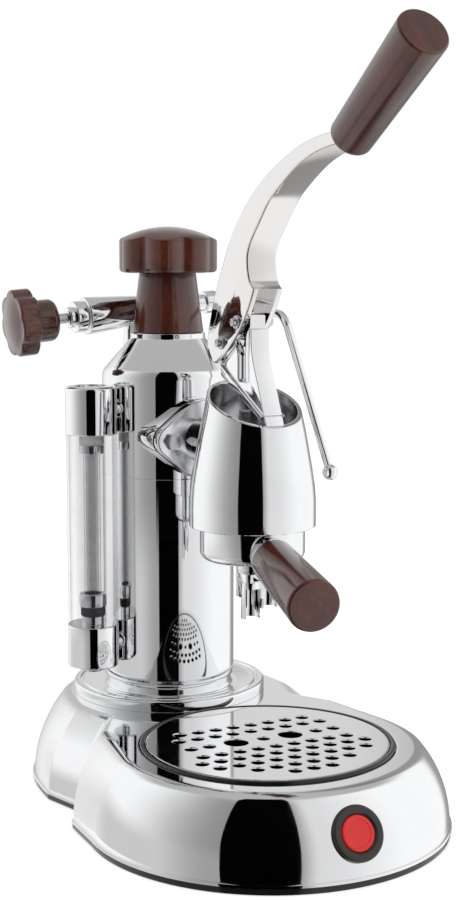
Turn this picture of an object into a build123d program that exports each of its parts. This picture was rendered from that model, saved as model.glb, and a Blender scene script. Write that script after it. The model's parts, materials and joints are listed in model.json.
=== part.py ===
import math
import os

from build123d import *

os.makedirs("parts", exist_ok=True)

# Frame: origin on the boiler axis at table level, +Z up, the machine faces -Y.
# Every length is in millimetres.

# shared clearances
fit_gap = 0.05          # running fit of a shaft or plug, radial
free_gap = 0.3          # air between pieces that move past each other
sheet = 1.8             # wall of the pressed and cast shells

# main stations
lobe_y = -128.7         # centre of the round front lobe and of the drip tray
group_y = -110.5        # axis of the brewing group
cover_h = 3.7           # thickness of the bottom cover
lip_h = 1.6             # height of the lip round the foot of the base
deck_z = 46.0           # flat top of the base
deck_t = 2.0            # thickness of the deck
lip_top = cover_h + lip_h

# drip tray radii, from the bowl outward; the front lobe of the base follows them
tray_bowl_r = 65.6
tray_lip = 4.0          # how far the rim stands out over the bowl
tray_rim_w = 2.7        # width of the raised rim
tray_rim_r = tray_bowl_r + tray_lip
tray_rim_in = tray_rim_r - tray_rim_w
deck_rim = 7.0          # deck left round the tray
flank_in = 22.3         # how far the flank comes in from foot to deck

# base outline, one half (x < 0), at the foot and at the deck
# front corners are shares of the lobe's radius from its centre, rear ones are shares of the rear reach
front_r_deck = tray_rim_r + free_gap + deck_rim
front_r_foot = front_r_deck + flank_in
rear_foot = 64.0
rear_deck = 60.4
tangent_deg = 6.0
foot_front_shares = {"A": (-0.98185, 0.42036), "N": (-0.85282, 0.63206)}
foot_rear_shares = {"C": (-1.45, -0.578125), "M1": (-1.359375, 0.0375), "M2": (-1.025, 0.58125), "R": (0.0, 1.0)}
deck_front_shares = {"A": (-0.92198, 0.77633), "N": (-0.72822, 1.10143)}
deck_rear_shares = {"C": (-1.04801, -0.25828), "M1": (-0.98675, 0.23179), "M2": (-0.70861, 0.71523),
                    "R": (0.0, 1.0)}
corner_r = {"A": 2.6, "N": 5.0, "C": 8.0}
mitre = {"A": 1.15, "N": 1.25, "C": 1.05, "M1": 1.0, "M2": 1.0, "R": 1.0}
waist_y = -55.0
rear_mid_y = -10.0
lip_share = -0.06
flank_rise = deck_z - lip_top
flank_arc = (flank_in ** 2 + flank_rise ** 2) / (2 * flank_in)
flank_shares = (0.0, 0.24, 0.46, 0.66, 0.83, 0.94, 1.0)


def corner_spots(front_shares, front_r, rear_shares, rear_reach):
    """Corners of one outline from its shares."""
    spots = {key: (x * front_r, lobe_y + y * front_r) for key, (x, y) in front_shares.items()}
    spots.update({key: (x * rear_reach, y * rear_reach) for key, (x, y) in rear_shares.items()})
    return spots


foot_pts = corner_spots(foot_front_shares, front_r_foot, foot_rear_shares, rear_foot)
deck_pts = corner_spots(deck_front_shares, front_r_deck, deck_rear_shares, rear_deck)


def flank_inset(rise):
    """Inset of the flank from its foot at a height above the lip."""
    return flank_arc - math.sqrt(flank_arc ** 2 - rise ** 2)


def shift_to(point, centre, amount):
    """Point moved straight toward a centre by an amount."""
    dx = centre[0] - point[0]
    dy = centre[1] - point[1]
    far = math.hypot(dx, dy)
    return (point[0] + dx * amount / far, point[1] + dy * amount / far)


def outline_points(share, inward):
    """Half outline of the base; share 0 is the foot and share 1 the deck."""
    pts = {}
    for key in foot_pts:
        fx, fy = foot_pts[key]
        dx, dy = deck_pts[key]
        here = (fx + (dx - fx) * share, fy + (dy - fy) * share)
        middle = (0.0, lobe_y) if key == "A" else (0.0, waist_y if key == "N" else rear_mid_y)
        pts[key] = shift_to(here, middle, inward * mitre[key])
    radius = front_r_foot + (front_r_deck - front_r_foot) * share - inward
    ang = math.radians(tangent_deg)
    pts["S"] = (-radius * math.cos(ang), lobe_y + radius * math.sin(ang))
    pts["F"] = (0.0, lobe_y - radius)
    return pts


def mirror_x(point):
    """The same point on the other side of the machine."""
    return (-point[0], point[1])


def base_face(share, height, inward):
    """Closed outline of the base as a sketch, moved inward evenly."""
    pts = outline_points(share, inward)
    with BuildSketch(Plane.XY.offset(height)) as face:
        with BuildLine():
            ThreePointArc(pts["S"], pts["F"], mirror_x(pts["S"]))
            Line(pts["S"], pts["A"])
            Line(pts["A"], pts["N"])
            Line(pts["N"], pts["C"])
            Spline(pts["C"], pts["M1"], pts["M2"], pts["R"], mirror_x(pts["M2"]),
                   mirror_x(pts["M1"]), mirror_x(pts["C"]))
            Line(mirror_x(pts["S"]), mirror_x(pts["A"]))
            Line(mirror_x(pts["A"]), mirror_x(pts["N"]))
            Line(mirror_x(pts["N"]), mirror_x(pts["C"]))
        make_face()
        for key in ("A", "N", "C"):
            for spot in (pts[key], mirror_x(pts[key])):
                near = Vector(spot[0], spot[1], height)
                corner = min(face.vertices(), key=lambda v: (Vector(v.X, v.Y, v.Z) - near).length)
                fillet(corner, corner_r[key])
    return face.sketch


# drip tray and grid heights, used by the base as well
tray_rim_top = 47.4
tray_seat_z = 42.5
tray_floor_z = 14.0
tray_wall = 1.8
ledge_t = 2.0
ledge_in = tray_bowl_r + free_gap
grid_r = tray_rim_in - free_gap
grid_top = 47.2
grid_t = 1.2
grid_seat_z = 44.5
grid_skirt = 1.2
deck_hole_r = tray_rim_r + free_gap

# boiler sizes that the base needs
neck_out_r = 33.8
neck_bore = neck_out_r + fit_gap * 2
boiler_r = 39.64

# switch seat in the front flank
switch_z = 26.0
switch_ang = math.asin((switch_z - lip_top) / flank_arc)
switch_y = lobe_y - front_r_foot + flank_inset(switch_z - lip_top)
bezel_r = 14.25
bezel_proud = 2.6
bezel_barrel_r = 11.6
button_r = 9.3
switch_plane = Plane(origin=(0, switch_y, switch_z), x_dir=(1, 0, 0),
                     z_dir=(0, -math.cos(switch_ang), math.sin(switch_ang)))

# power inlet seat at the rear
inlet_w = 30.0
inlet_h = 22.0
inlet_z = 24.0
inlet_face_y = 65.5
inlet_len = 24.0
inlet_corner = 3.0


def near_vertex(sketch, x, y):
    """The corner of a sketch that lies closest to a local point."""
    spot = Vector(x, y, 0)
    return min(sketch.vertices(), key=lambda v: (Vector(v.X, v.Y, 0) - spot).length)


def section(plane, points, rounds):
    """Closed section on a plane; rounds pairs a point's index with a radius."""
    with BuildSketch(plane) as face:
        with BuildLine():
            Polyline(*points, close=True)
        make_face()
        for index, radius in rounds:
            fillet(near_vertex(face, points[index][0], points[index][1]), radius)
    return face.sketch


def upright(x, y):
    """Plane through a vertical axis; local x is the radius, local y the height."""
    return Plane(origin=(x, y, 0), x_dir=(1, 0, 0), z_dir=(0, -1, 0))


def upright_axis(x, y):
    """Vertical axis at a place in plan."""
    return Axis((x, y, 0), (0, 0, 1))


boiler_plane = upright(0, 0)
lobe_plane = upright(0, lobe_y)
group_plane = upright(0, group_y)
group_axis = upright_axis(0, group_y)
low = (Align.CENTER, Align.CENTER, Align.MIN)

# screws of the bottom cover and their bosses
front_screw_share = (0.79637, -0.29032)
rear_screw_shares = [(1.1875, -0.375), (0.71875, 0.53125)]
screw_spots = []
for side in (-1, 1):
    screw_spots.append((side * front_screw_share[0] * front_r_foot,
                        lobe_y + front_screw_share[1] * front_r_foot))
    for across, along in rear_screw_shares:
        screw_spots.append((side * across * rear_foot, along * rear_foot))
boss_r = 4.5
screw_r = 1.6
screw_deep = 10.0
screw_head_r = 3.2
screw_head_h = 2.2

# base_block: outside of the base as one solid, used for cuts only
with BuildPart() as base_block:
    for level in flank_shares:
        rise = flank_rise * level
        add(base_face(flank_inset(rise) / flank_in, lip_top + rise, 0))
    loft()
    # foot lip
    add(base_face(lip_share, cover_h, 0))
    extrude(amount=lip_h)

with BuildPart() as base_hollow:
    for level in flank_shares:
        rise = (flank_rise - deck_t) * level
        add(base_face(flank_inset(rise) / flank_in, lip_top + rise, sheet))
    loft()
    add(base_face(0.0, cover_h, sheet))
    extrude(amount=lip_h)

with BuildPart() as base_bosses:
    for spot in screw_spots:
        with Locations((spot[0], spot[1], cover_h)):
            Cylinder(boss_r, deck_z - cover_h, align=low)
    add(base_block.part, mode=Mode.INTERSECT)
    for spot in screw_spots:
        with Locations((spot[0], spot[1], cover_h)):
            Cylinder(screw_r, screw_deep, align=low, mode=Mode.SUBTRACT)

# base_shell: pressed chrome shell of the base
with BuildPart() as base_shell:
    add(base_block.part)
    add(base_hollow.part, mode=Mode.SUBTRACT)
    add(base_bosses.part)
    # seat of the drip tray
    with Locations((0, lobe_y, tray_seat_z - ledge_t)):
        Cylinder(deck_hole_r + sheet, deck_z - deck_t - tray_seat_z + ledge_t, align=low)
    with Locations((0, lobe_y, tray_seat_z)):
        Cylinder(deck_hole_r, deck_z, align=low, mode=Mode.SUBTRACT)
    with Locations((0, lobe_y, tray_seat_z - ledge_t)):
        Cylinder(ledge_in, deck_z, align=low, mode=Mode.SUBTRACT)
    # hole for the boiler neck
    with Locations((0, 0, deck_z - deck_t)):
        Cylinder(neck_bore, deck_t * 2, align=low, mode=Mode.SUBTRACT)
    # hole for the switch
    with BuildSketch(switch_plane):
        Circle(bezel_barrel_r + fit_gap)
    extrude(amount=flank_in, both=True, mode=Mode.SUBTRACT)
    # opening for the power inlet
    with BuildSketch(Plane.XZ.offset(-inlet_face_y + inlet_len)):
        with Locations((0, inlet_z)):
            RectangleRounded(inlet_w + fit_gap * 2, inlet_h + fit_gap * 2, inlet_corner)
    extrude(amount=-inlet_len * 2, mode=Mode.SUBTRACT)
base_shell.part.label = "base_shell"
export_step(base_shell.part, "parts/base_shell.step")

# bottom_cover: flat plastic cover that closes the base
cover_rim = 3.0
cover_rim_h = 4.0
with BuildPart() as bottom_cover:
    add(base_face(lip_share / 2, 0.0, 0))
    extrude(amount=cover_h)
    with BuildPart(mode=Mode.PRIVATE) as rim_out:
        add(base_face(0.0, cover_h, sheet + free_gap))
        extrude(amount=cover_rim_h)
        add(base_face(0.0, cover_h, sheet + free_gap + cover_rim))
        extrude(amount=cover_rim_h, mode=Mode.SUBTRACT)
        for spot in screw_spots:
            with Locations((spot[0], spot[1], cover_h)):
                Cylinder(boss_r + free_gap, cover_rim_h, align=low, mode=Mode.SUBTRACT)
    add(rim_out.part)
    for spot in screw_spots:
        with Locations((spot[0], spot[1], 0)):
            Cylinder(screw_r + fit_gap, cover_h, align=low, mode=Mode.SUBTRACT)
            Cylinder(screw_head_r + fit_gap, screw_head_h + free_gap, align=low, mode=Mode.SUBTRACT)
bottom_cover.part.label = "bottom_cover"
export_step(bottom_cover.part, "parts/bottom_cover.step")

# cover_screws: six screws of the bottom cover
with BuildPart() as cover_screws:
    for spot in screw_spots:
        with Locations((spot[0], spot[1], free_gap)):
            Cylinder(screw_head_r, screw_head_h, align=low)
        with Locations((spot[0], spot[1], free_gap)):
            Cylinder(screw_r, cover_h + screw_deep - free_gap * 4, align=low)
            Cylinder(screw_r * 0.6, screw_head_h * 0.5, align=low, mode=Mode.SUBTRACT)
cover_screws.part.label = "cover_screws"
export_step(cover_screws.part, "parts/cover_screws.step")

# drip_tray: round plastic tray that drops into the front lobe
with BuildPart() as drip_tray:
    add(section(lobe_plane, [
        (0, tray_floor_z), (tray_bowl_r, tray_floor_z), (tray_bowl_r, tray_seat_z),
        (tray_rim_r, tray_seat_z), (tray_rim_r, tray_rim_top), (tray_rim_in, tray_rim_top),
        (tray_rim_in, grid_seat_z), (tray_bowl_r - tray_wall, grid_seat_z),
        (tray_bowl_r - tray_wall, tray_floor_z + tray_wall), (0, tray_floor_z + tray_wall),
    ], [(1, 4.0), (4, 1.0), (8, 3.0)]))
    revolve(axis=upright_axis(0, lobe_y))
drip_tray.part.label = "drip_tray"
export_step(drip_tray.part, "parts/drip_tray.step")

# drip_grid: perforated plate on the tray
hole_r = 3.2
hole_pitch = 11.0
finger_r = 6.7
finger_x = 16.7
finger_y = 4.5
row_ys = (-51.5, -41.5, -31.0, -20.7, -10.4, 19.6, 30.3)
row_counts = (3, 6, 9, 10, 9, 9, 8)
middle_xs = [0.0, 33.0, -33.0, 44.0, -44.0]
with BuildPart() as drip_grid:
    add(section(lobe_plane, [
        (0, grid_top - grid_t), (grid_r - grid_skirt, grid_top - grid_t), (grid_r - grid_skirt, grid_seat_z),
        (grid_r, grid_seat_z), (grid_r, grid_top), (0, grid_top),
    ], [(4, 0.8)]))
    revolve(axis=upright_axis(0, lobe_y))
    with BuildSketch(Plane.XY.offset(grid_top)):
        for row_y, count in zip(row_ys, row_counts):
            for step in range(count):
                with Locations(((step - (count - 1) / 2) * hole_pitch, lobe_y + row_y)):
                    Circle(hole_r)
        for hole_x in middle_xs:
            with Locations((hole_x, lobe_y + finger_y)):
                Circle(hole_r)
        for side in (-1, 1):
            with Locations((side * finger_x, lobe_y + finger_y)):
                Circle(finger_r)
    extrude(amount=-grid_t * 2, mode=Mode.SUBTRACT)
drip_grid.part.label = "drip_grid"
export_step(drip_grid.part, "parts/drip_grid.step")

# switch_bezel: ring and barrel of the switch
bezel_hole_r = 9.4
bezel_back = 3.2
barrel_len = 20.0
with BuildPart() as switch_bezel:
    with BuildSketch(switch_plane.offset(-bezel_back)):
        Circle(bezel_r)
    extrude(amount=bezel_back + bezel_proud)
    fillet(switch_bezel.faces().sort_by(Axis((0, 0, 0), switch_plane.z_dir))[-1].edges(), 1.4)
    add(base_block.part, mode=Mode.SUBTRACT)
    with BuildSketch(switch_plane.offset(-barrel_len)):
        Circle(bezel_barrel_r)
    extrude(amount=barrel_len)
    with BuildSketch(switch_plane.offset(-barrel_len)):
        Circle(bezel_hole_r)
    extrude(amount=barrel_len * 2, mode=Mode.SUBTRACT)
    chamfer(switch_bezel.faces().sort_by(Axis((0, 0, 0), switch_plane.z_dir))[-1].edges()
            .sort_by(SortBy.LENGTH)[0], 1.0)
switch_bezel.part.label = "switch_bezel"
export_step(switch_bezel.part, "parts/switch_bezel.step")

# switch_button: red lens that is pressed
button_travel = 2.0
button_back = 6.0
button_front = 2.2
with BuildPart() as switch_button:
    with BuildSketch(switch_plane.offset(-button_back)):
        Circle(button_r)
    extrude(amount=button_back + button_front)
    fillet(switch_button.faces().sort_by(Axis((0, 0, 0), switch_plane.z_dir))[-1].edges(), 1.2)
switch_button.part.label = "switch_button"
export_step(switch_button.part, "parts/switch_button.step")

# switch_body: contact block inside the barrel
block_front = button_back + button_travel + free_gap
block_len = 15.0
tab_w = 4.8
tab_t = 0.8
tab_len = 3.0
tab_x = 4.0
with BuildPart() as switch_body:
    with BuildSketch(switch_plane.offset(-block_front - block_len)):
        Circle(bezel_hole_r)
    extrude(amount=block_len)
    with BuildSketch(switch_plane.offset(-block_front - block_len - tab_len)):
        with Locations((-tab_x, 0), (tab_x, 0)):
            Rectangle(tab_t, tab_w)
    extrude(amount=tab_len)
switch_body.part.label = "switch_body"
export_step(switch_body.part, "parts/switch_body.step")

# power_inlet: socket for the cord at the rear
inlet_wall = 2.4
inlet_floor = 5.0
pin_r = 1.6
pin_gap = 6.5
inlet_plane = Plane(origin=(0, inlet_face_y, inlet_z), x_dir=(1, 0, 0), z_dir=(0, -1, 0))
with BuildPart() as power_inlet:
    with BuildSketch(inlet_plane):
        RectangleRounded(inlet_w, inlet_h, inlet_corner)
    extrude(amount=inlet_len)
    with BuildSketch(inlet_plane):
        RectangleRounded(inlet_w - inlet_wall * 2, inlet_h - inlet_wall * 2, inlet_corner - 1.0)
    extrude(amount=inlet_len - inlet_floor, mode=Mode.SUBTRACT)
    with BuildSketch(inlet_plane.offset(inlet_wall)):
        with Locations((-pin_gap, -2.0), (0, 2.0), (pin_gap, -2.0)):
            Circle(pin_r)
    extrude(amount=inlet_len - inlet_wall)
power_inlet.part.label = "power_inlet"
export_step(power_inlet.part, "parts/power_inlet.step")

# collar_ring: chrome ring between the base and the boiler
collar_r = 58.2
collar_h = 6.6
collar_up = 10.3
stem_r = 38.2
collar_w = collar_r - stem_r
rim_in_share, groove_out_share, groove_in_share, slope_out_share = 0.82, 0.78, 0.73, 0.69
slope_mid_share, slope_in_share = 0.55, 0.175
boiler_foot = deck_z + collar_up
groove_deep = 1.0
slope_top = 0.2
slope_low = 2.4
with BuildPart() as collar_ring:
    add(section(boiler_plane, [
        (neck_bore, deck_z), (collar_r, deck_z), (collar_r, deck_z + collar_h),
        (stem_r + collar_w * rim_in_share, deck_z + collar_h),
        (stem_r + collar_w * groove_out_share, deck_z + collar_h - groove_deep),
        (stem_r + collar_w * groove_in_share, deck_z + collar_h - groove_deep),
        (stem_r + collar_w * slope_out_share, deck_z + collar_h - slope_top),
        (stem_r + collar_w * slope_mid_share, deck_z + collar_h - slope_top * 2),
        (stem_r + collar_w * slope_in_share, deck_z + collar_h - slope_low),
        (stem_r, deck_z + collar_h - slope_low - slope_top), (stem_r, boiler_foot), (neck_bore, boiler_foot),
    ], [(2, 1.6), (9, 1.0), (10, 0.5)]))
    revolve(axis=Axis.Z)
collar_ring.part.label = "collar_ring"
export_step(collar_ring.part, "parts/collar_ring.step")

# boiler_tube: lower half of the boiler with its threaded neck
seam_z = 180.0
boiler_wall = 1.6
neck_in_r = 28.0
neck_foot = 38.5
floor_t = 3.0
seam_cut = 0.35
gauge_x = -54.1
gauge_y = -10.8
gauge_far = math.hypot(gauge_x, gauge_y)
gauge_low_z = 81.0
gauge_high_z = 220.0
port_r = 2.5


def toward_gauge(height):
    """Plane on the boiler axis that looks at the sight glass."""
    return Plane(origin=(0, 0, height), x_dir=(0, 0, 1), z_dir=(gauge_x, gauge_y, 0))


with BuildPart() as boiler_tube:
    add(section(boiler_plane, [
        (neck_in_r, neck_foot), (neck_out_r, neck_foot), (neck_out_r, boiler_foot),
        (boiler_r, boiler_foot), (boiler_r, seam_z - seam_cut), (boiler_r - seam_cut, seam_z),
        (boiler_r - boiler_wall, seam_z), (boiler_r - boiler_wall, boiler_foot + floor_t),
        (neck_in_r, boiler_foot + floor_t),
    ], [(3, 1.0), (7, 2.0)]))
    revolve(axis=Axis.Z)
    with BuildSketch(toward_gauge(gauge_low_z)):
        Circle(port_r)
    extrude(amount=boiler_r * 2, mode=Mode.SUBTRACT)
boiler_tube.part.label = "boiler_tube"
export_step(boiler_tube.part, "parts/boiler_tube.step")

# boiler_dome: upper half of the boiler with its neck, valve boss and group boss
dome_side_top = 243.16
dome_round = 8.5
dome_neck_r = 22.3
dome_neck_top = 263.6
dome_neck_in = 16.0
dome_neck_low = 254.0
dome_wall = 1.8
dome_cone_sum = boiler_r + dome_side_top
cone_wall = dome_wall * math.sqrt(2)
valve_boss_r = 7.5
valve_boss_x = -8.0
valve_back = 30.0
valve_boss_y = valve_back - 0.5
valve_boss_top = 262.5
valve_boss_low = 240.0
flange_z = 204.5
flange_half = 23.0
bolt_x = 22.0
bolt_end_r = 9.0
bolt_r = 3.0
group_boss_face = -46.5
boss_deep = 24.0
water_r = 5.0
bolt_deep = 10.0
flange_plane = Plane(origin=(0, group_boss_face, flange_z), x_dir=(1, 0, 0), z_dir=(0, -1, 0))


def flange_shape(plane, hole, bolt_hole):
    """Rhombic flange with a centre hole and two bolt holes."""
    with BuildSketch(plane) as face:
        Circle(flange_half)
        with Locations((-bolt_x, 0), (bolt_x, 0)):
            Circle(bolt_end_r)
        make_hull(face.edges())
        if hole > 0:
            Circle(hole, mode=Mode.SUBTRACT)
        if bolt_hole > 0:
            with Locations((-bolt_x, 0), (bolt_x, 0)):
                Circle(bolt_hole, mode=Mode.SUBTRACT)
    return face.sketch


with BuildPart() as boiler_dome:
    add(section(boiler_plane, [
        (0, seam_z), (boiler_r - seam_cut, seam_z), (boiler_r, seam_z + seam_cut), (boiler_r, dome_side_top),
        (dome_neck_r, dome_cone_sum - dome_neck_r), (dome_neck_r, dome_neck_top), (0, dome_neck_top),
    ], [(3, dome_round), (5, 0.6)]))
    revolve(axis=Axis.Z)
    with Locations((valve_boss_x, valve_boss_y, valve_boss_low)):
        Cylinder(valve_boss_r, valve_boss_top - valve_boss_low, align=low)
    extrude(flange_shape(flange_plane, 0, 0), amount=boss_deep, dir=Vector(0, 1, 0))
    # inside
    add(section(boiler_plane, [
        (0, seam_z), (boiler_r - dome_wall, seam_z), (boiler_r - dome_wall, dome_side_top - cone_wall / 2),
        (dome_cone_sum - cone_wall - dome_neck_low, dome_neck_low), (dome_neck_in, dome_neck_low),
        (dome_neck_in, dome_neck_top), (0, dome_neck_top),
    ], [(2, dome_round - dome_wall)]))
    revolve(axis=Axis.Z, mode=Mode.SUBTRACT)
    with Locations((valve_boss_x, valve_boss_y, valve_boss_low - valve_boss_r)):
        Cylinder(port_r, valve_boss_top - valve_boss_low + valve_boss_r, align=low, mode=Mode.SUBTRACT)
    with BuildSketch(toward_gauge(gauge_high_z)):
        Circle(port_r)
    extrude(amount=boiler_r * 2, mode=Mode.SUBTRACT)
    with BuildSketch(flange_plane):
        Circle(water_r)
    extrude(amount=group_boss_face, mode=Mode.SUBTRACT)
    with BuildSketch(flange_plane):
        with Locations((-bolt_x, 0), (bolt_x, 0)):
            Circle(bolt_r)
    extrude(amount=-bolt_deep, mode=Mode.SUBTRACT)
boiler_dome.part.label = "boiler_dome"
export_step(boiler_dome.part, "parts/boiler_dome.step")

# boiler_ring_nut: ring nut that clamps the boiler to the deck from below
ring_nut_r = 42.0
ring_nut_slot = 4.0
with BuildPart() as boiler_ring_nut:
    add(section(boiler_plane, [
        (neck_bore, neck_foot), (ring_nut_r, neck_foot), (ring_nut_r, deck_z - deck_t),
        (neck_bore, deck_z - deck_t),
    ], [(1, 0.8)]))
    revolve(axis=Axis.Z)
    with Locations((0, 0, neck_foot)):
        with PolarLocations(ring_nut_r, 6):
            Cylinder(ring_nut_slot, deck_z, mode=Mode.SUBTRACT)
boiler_ring_nut.part.label = "boiler_ring_nut"
export_step(boiler_ring_nut.part, "parts/boiler_ring_nut.step")

# element_gasket: seal between the element flange and the neck
gasket_t = 1.8
with BuildPart() as element_gasket:
    with Locations((0, 0, neck_foot - gasket_t)):
        Cylinder(neck_out_r, gasket_t, align=low)
        Cylinder(neck_in_r, gasket_t, align=low, mode=Mode.SUBTRACT)
element_gasket.part.label = "element_gasket"
export_step(element_gasket.part, "parts/element_gasket.step")

# heating_element: flange, plug and looped rod inside the boiler
element_t = 5.0
element_plug_h = 8.0
coil_r = 4.0
coil_x = 12.0
coil_top = 128.0
term_w = 6.3
term_t = 0.8
term_h = 7.0
element_top = neck_foot - gasket_t
element_low = element_top - element_t
with BuildPart() as heating_element:
    with Locations((0, 0, element_low)):
        Cylinder(neck_out_r, element_t, align=low)
    with Locations((0, 0, element_top)):
        Cylinder(neck_in_r - fit_gap, element_plug_h, align=low)
    for side in (-1, 1):
        with Locations((side * coil_x, 0, element_top)):
            Cylinder(coil_r, coil_top - element_top, align=low)
        with Locations((side * coil_x, 0, element_low - term_h)):
            Box(term_w, term_t, term_h, align=low)
    with BuildSketch(Plane.XY.offset(coil_top)):
        with Locations((coil_x, 0)):
            Circle(coil_r)
    revolve(axis=Axis((0, 0, coil_top), (0, 1, 0)), revolution_arc=-180)
heating_element.part.label = "heating_element"
export_step(heating_element.part, "parts/heating_element.step")

# pressure_switch: box on the bottom cover with a pipe to the element flange
psw_x = 36.0
psw_y = 30.0
psw_h = 18.0
psw_at = 10.0
psw_pipe_r = 2.0
psw_pipe_y = 16.0
with BuildPart() as pressure_switch:
    with Locations((0, psw_at, cover_h)):
        Box(psw_x, psw_y, psw_h, align=low)
    fillet(pressure_switch.edges().filter_by(Axis.Z), 2.0)
    with Locations((0, psw_pipe_y, cover_h)):
        Cylinder(psw_pipe_r, element_low - cover_h, align=low)
pressure_switch.part.label = "pressure_switch"
export_step(pressure_switch.part, "parts/pressure_switch.step")


# boiler cap
def lobed(plane, reach, lobe_r, count, turn, blend):
    """Lobed outline made of overlapping circles with blended valleys."""
    with BuildSketch(plane) as face:
        Circle(reach - lobe_r)
        with PolarLocations(reach - lobe_r, count, start_angle=turn):
            Circle(lobe_r)
        fillet(face.vertices(), blend)
    return face.sketch


cap_gap = 0.3
cone_low = dome_neck_top + cap_gap
cone_r_low = 21.4
cone_r_top = 16.9
cone_top = 299.2
cap_seal_h = 2.0
cap_seal_in = 16.5
cap_seal_out = 20.0
shank_r = 12.0
shank_top = 306.0
plug_low = 251.0
cap_lobes = 7
cap_reach = 29.7
cap_lobe_r = 12.0
cap_blend = 3.0
cap_turn_deg = -80.9 - 90.0
cap_side_top = 320.0
cap_apex = 326.3
cap_edge = 2.5
seal_top = dome_neck_top + cap_seal_h

# cap_gasket: flat rubber seal between the neck and the cap
with BuildPart() as cap_gasket:
    with Locations((0, 0, dome_neck_top)):
        Cylinder(cap_seal_out, cap_seal_h, align=low)
        Cylinder(cap_seal_in, cap_seal_h, align=low, mode=Mode.SUBTRACT)
cap_gasket.part.label = "cap_gasket"
export_step(cap_gasket.part, "parts/cap_gasket.step")

# cap_plug: threaded plug and shank of the cap
with BuildPart() as cap_plug:
    add(section(boiler_plane, [
        (0, plug_low), (dome_neck_in - fit_gap, plug_low), (dome_neck_in - fit_gap, seal_top),
        (shank_r - fit_gap, seal_top), (shank_r - fit_gap, shank_top), (0, shank_top),
    ], [(1, 1.0)]))
    revolve(axis=Axis.Z)
cap_plug.part.label = "cap_plug"
export_step(cap_plug.part, "parts/cap_plug.step")

# cap_cone: wooden cone under the knob
with BuildPart() as cap_cone:
    add(section(boiler_plane, [
        (cap_seal_out + fit_gap * 4, cone_low), (cone_r_low, cone_low), (cone_r_top, cone_top),
        (shank_r, cone_top), (shank_r, seal_top), (cap_seal_out + fit_gap * 4, seal_top),
    ], [(2, 0.5)]))
    revolve(axis=Axis.Z)
cap_cone.part.label = "cap_cone"
export_step(cap_cone.part, "parts/cap_cone.step")

# cap_knob: wooden knob with seven lobes
knob_drop = cap_apex - cap_side_top
knob_ball = (cap_reach ** 2 + knob_drop ** 2) / (knob_drop * 2)
with BuildPart() as cap_knob:
    add(lobed(Plane.XY.offset(cone_top), cap_reach, cap_lobe_r, cap_lobes, cap_turn_deg, cap_blend))
    extrude(amount=cap_apex - cone_top)
    with BuildSketch(boiler_plane) as knob_side:
        with BuildLine():
            Polyline((0, cap_apex), (0, cone_top), (cap_reach * 1.02, cone_top), (cap_reach * 1.02, cap_side_top))
            Line((cap_reach * 1.02, cap_side_top), (cap_reach, cap_side_top))
            ThreePointArc((cap_reach, cap_side_top),
                          (cap_reach / 2, cap_apex - knob_ball + math.sqrt(knob_ball ** 2 - cap_reach ** 2 / 4)),
                          (0, cap_apex))
        make_face()
    revolve(axis=Axis.Z, mode=Mode.INTERSECT)
    fillet(cap_knob.faces().sort_by(Axis.Z)[0].edges(), cap_edge)
    with Locations((0, 0, cone_top)):
        Cylinder(shank_r, shank_top - cone_top + cap_gap, align=low, mode=Mode.SUBTRACT)
cap_knob.part.label = "cap_knob"
export_step(cap_knob.part, "parts/cap_knob.step")

# steam valve, built along its own axis
valve_tilt = 5.0
valve_rise = 12.9
valve_o = Vector(0, valve_back, dome_neck_top + valve_rise)
valve_a = Vector(math.cos(math.radians(valve_tilt)), 0, math.sin(math.radians(valve_tilt)))
valve_plane = Plane(origin=valve_o, x_dir=valve_a, z_dir=(0, -1, 0))
valve_axis = Axis(valve_o, valve_a)
barrel_profile = [(-42.0, 11.4), (-14.0, 9.4), (-3.0, 8.4), (8.0, 5.3), (42.5, 5.3)]
needle_r = 3.4
seat_s = -5.0
seat_r = 2.0
packing_bore = 4.2
needle_back = -27.0
valve_stem_r = 3.0
wand_r = 2.4
wand_in = 1.4
wand_flange_r = 4.9
wand_flange_t = 1.6

# steam_valve_body: barrel and foot
with BuildPart() as steam_valve_body:
    add(section(valve_plane, [
        (barrel_profile[0][0], 0), barrel_profile[0], barrel_profile[1], barrel_profile[2],
        barrel_profile[3], barrel_profile[4], (barrel_profile[4][0], 0),
    ], [(1, 1.6), (4, 3.0)]))
    revolve(axis=valve_axis)
    with Locations((valve_boss_x, valve_boss_y, valve_boss_top)):
        Cylinder(valve_boss_r, valve_o.Z - valve_boss_top + valve_boss_x * math.tan(math.radians(valve_tilt)),
                 align=low)
        Cylinder(port_r, valve_o.Z - valve_boss_top, align=low, mode=Mode.SUBTRACT)
    add(section(valve_plane, [
        (barrel_profile[0][0], 0), (barrel_profile[0][0], packing_bore), (needle_back, packing_bore),
        (needle_back, needle_r + fit_gap), (seat_s, needle_r + fit_gap), (seat_s, seat_r),
        (barrel_profile[4][0], seat_r), (barrel_profile[4][0], 0),
    ], []))
    revolve(axis=valve_axis, mode=Mode.SUBTRACT)
steam_valve_body.part.label = "steam_valve_body"
export_step(steam_valve_body.part, "parts/steam_valve_body.step")

# steam_packing_nut: nut that closes the barrel round the stem
nut_face = -49.0
nut_end = -53.0
nut_r = 9.4
nut_collar_r = 6.4
nut_spigot = 4.0
with BuildPart() as steam_packing_nut:
    add(section(valve_plane, [
        (barrel_profile[0][0] + nut_spigot, valve_stem_r + fit_gap),
        (barrel_profile[0][0] + nut_spigot, packing_bore - fit_gap),
        (barrel_profile[0][0], packing_bore - fit_gap), (barrel_profile[0][0], nut_r), (nut_face, nut_r),
        (nut_face, nut_collar_r), (nut_end, nut_collar_r), (nut_end, valve_stem_r + fit_gap),
    ], [(3, 0.8), (4, 0.8), (6, 1.5)]))
    revolve(axis=valve_axis)
steam_packing_nut.part.label = "steam_packing_nut"
export_step(steam_packing_nut.part, "parts/steam_packing_nut.step")

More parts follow.
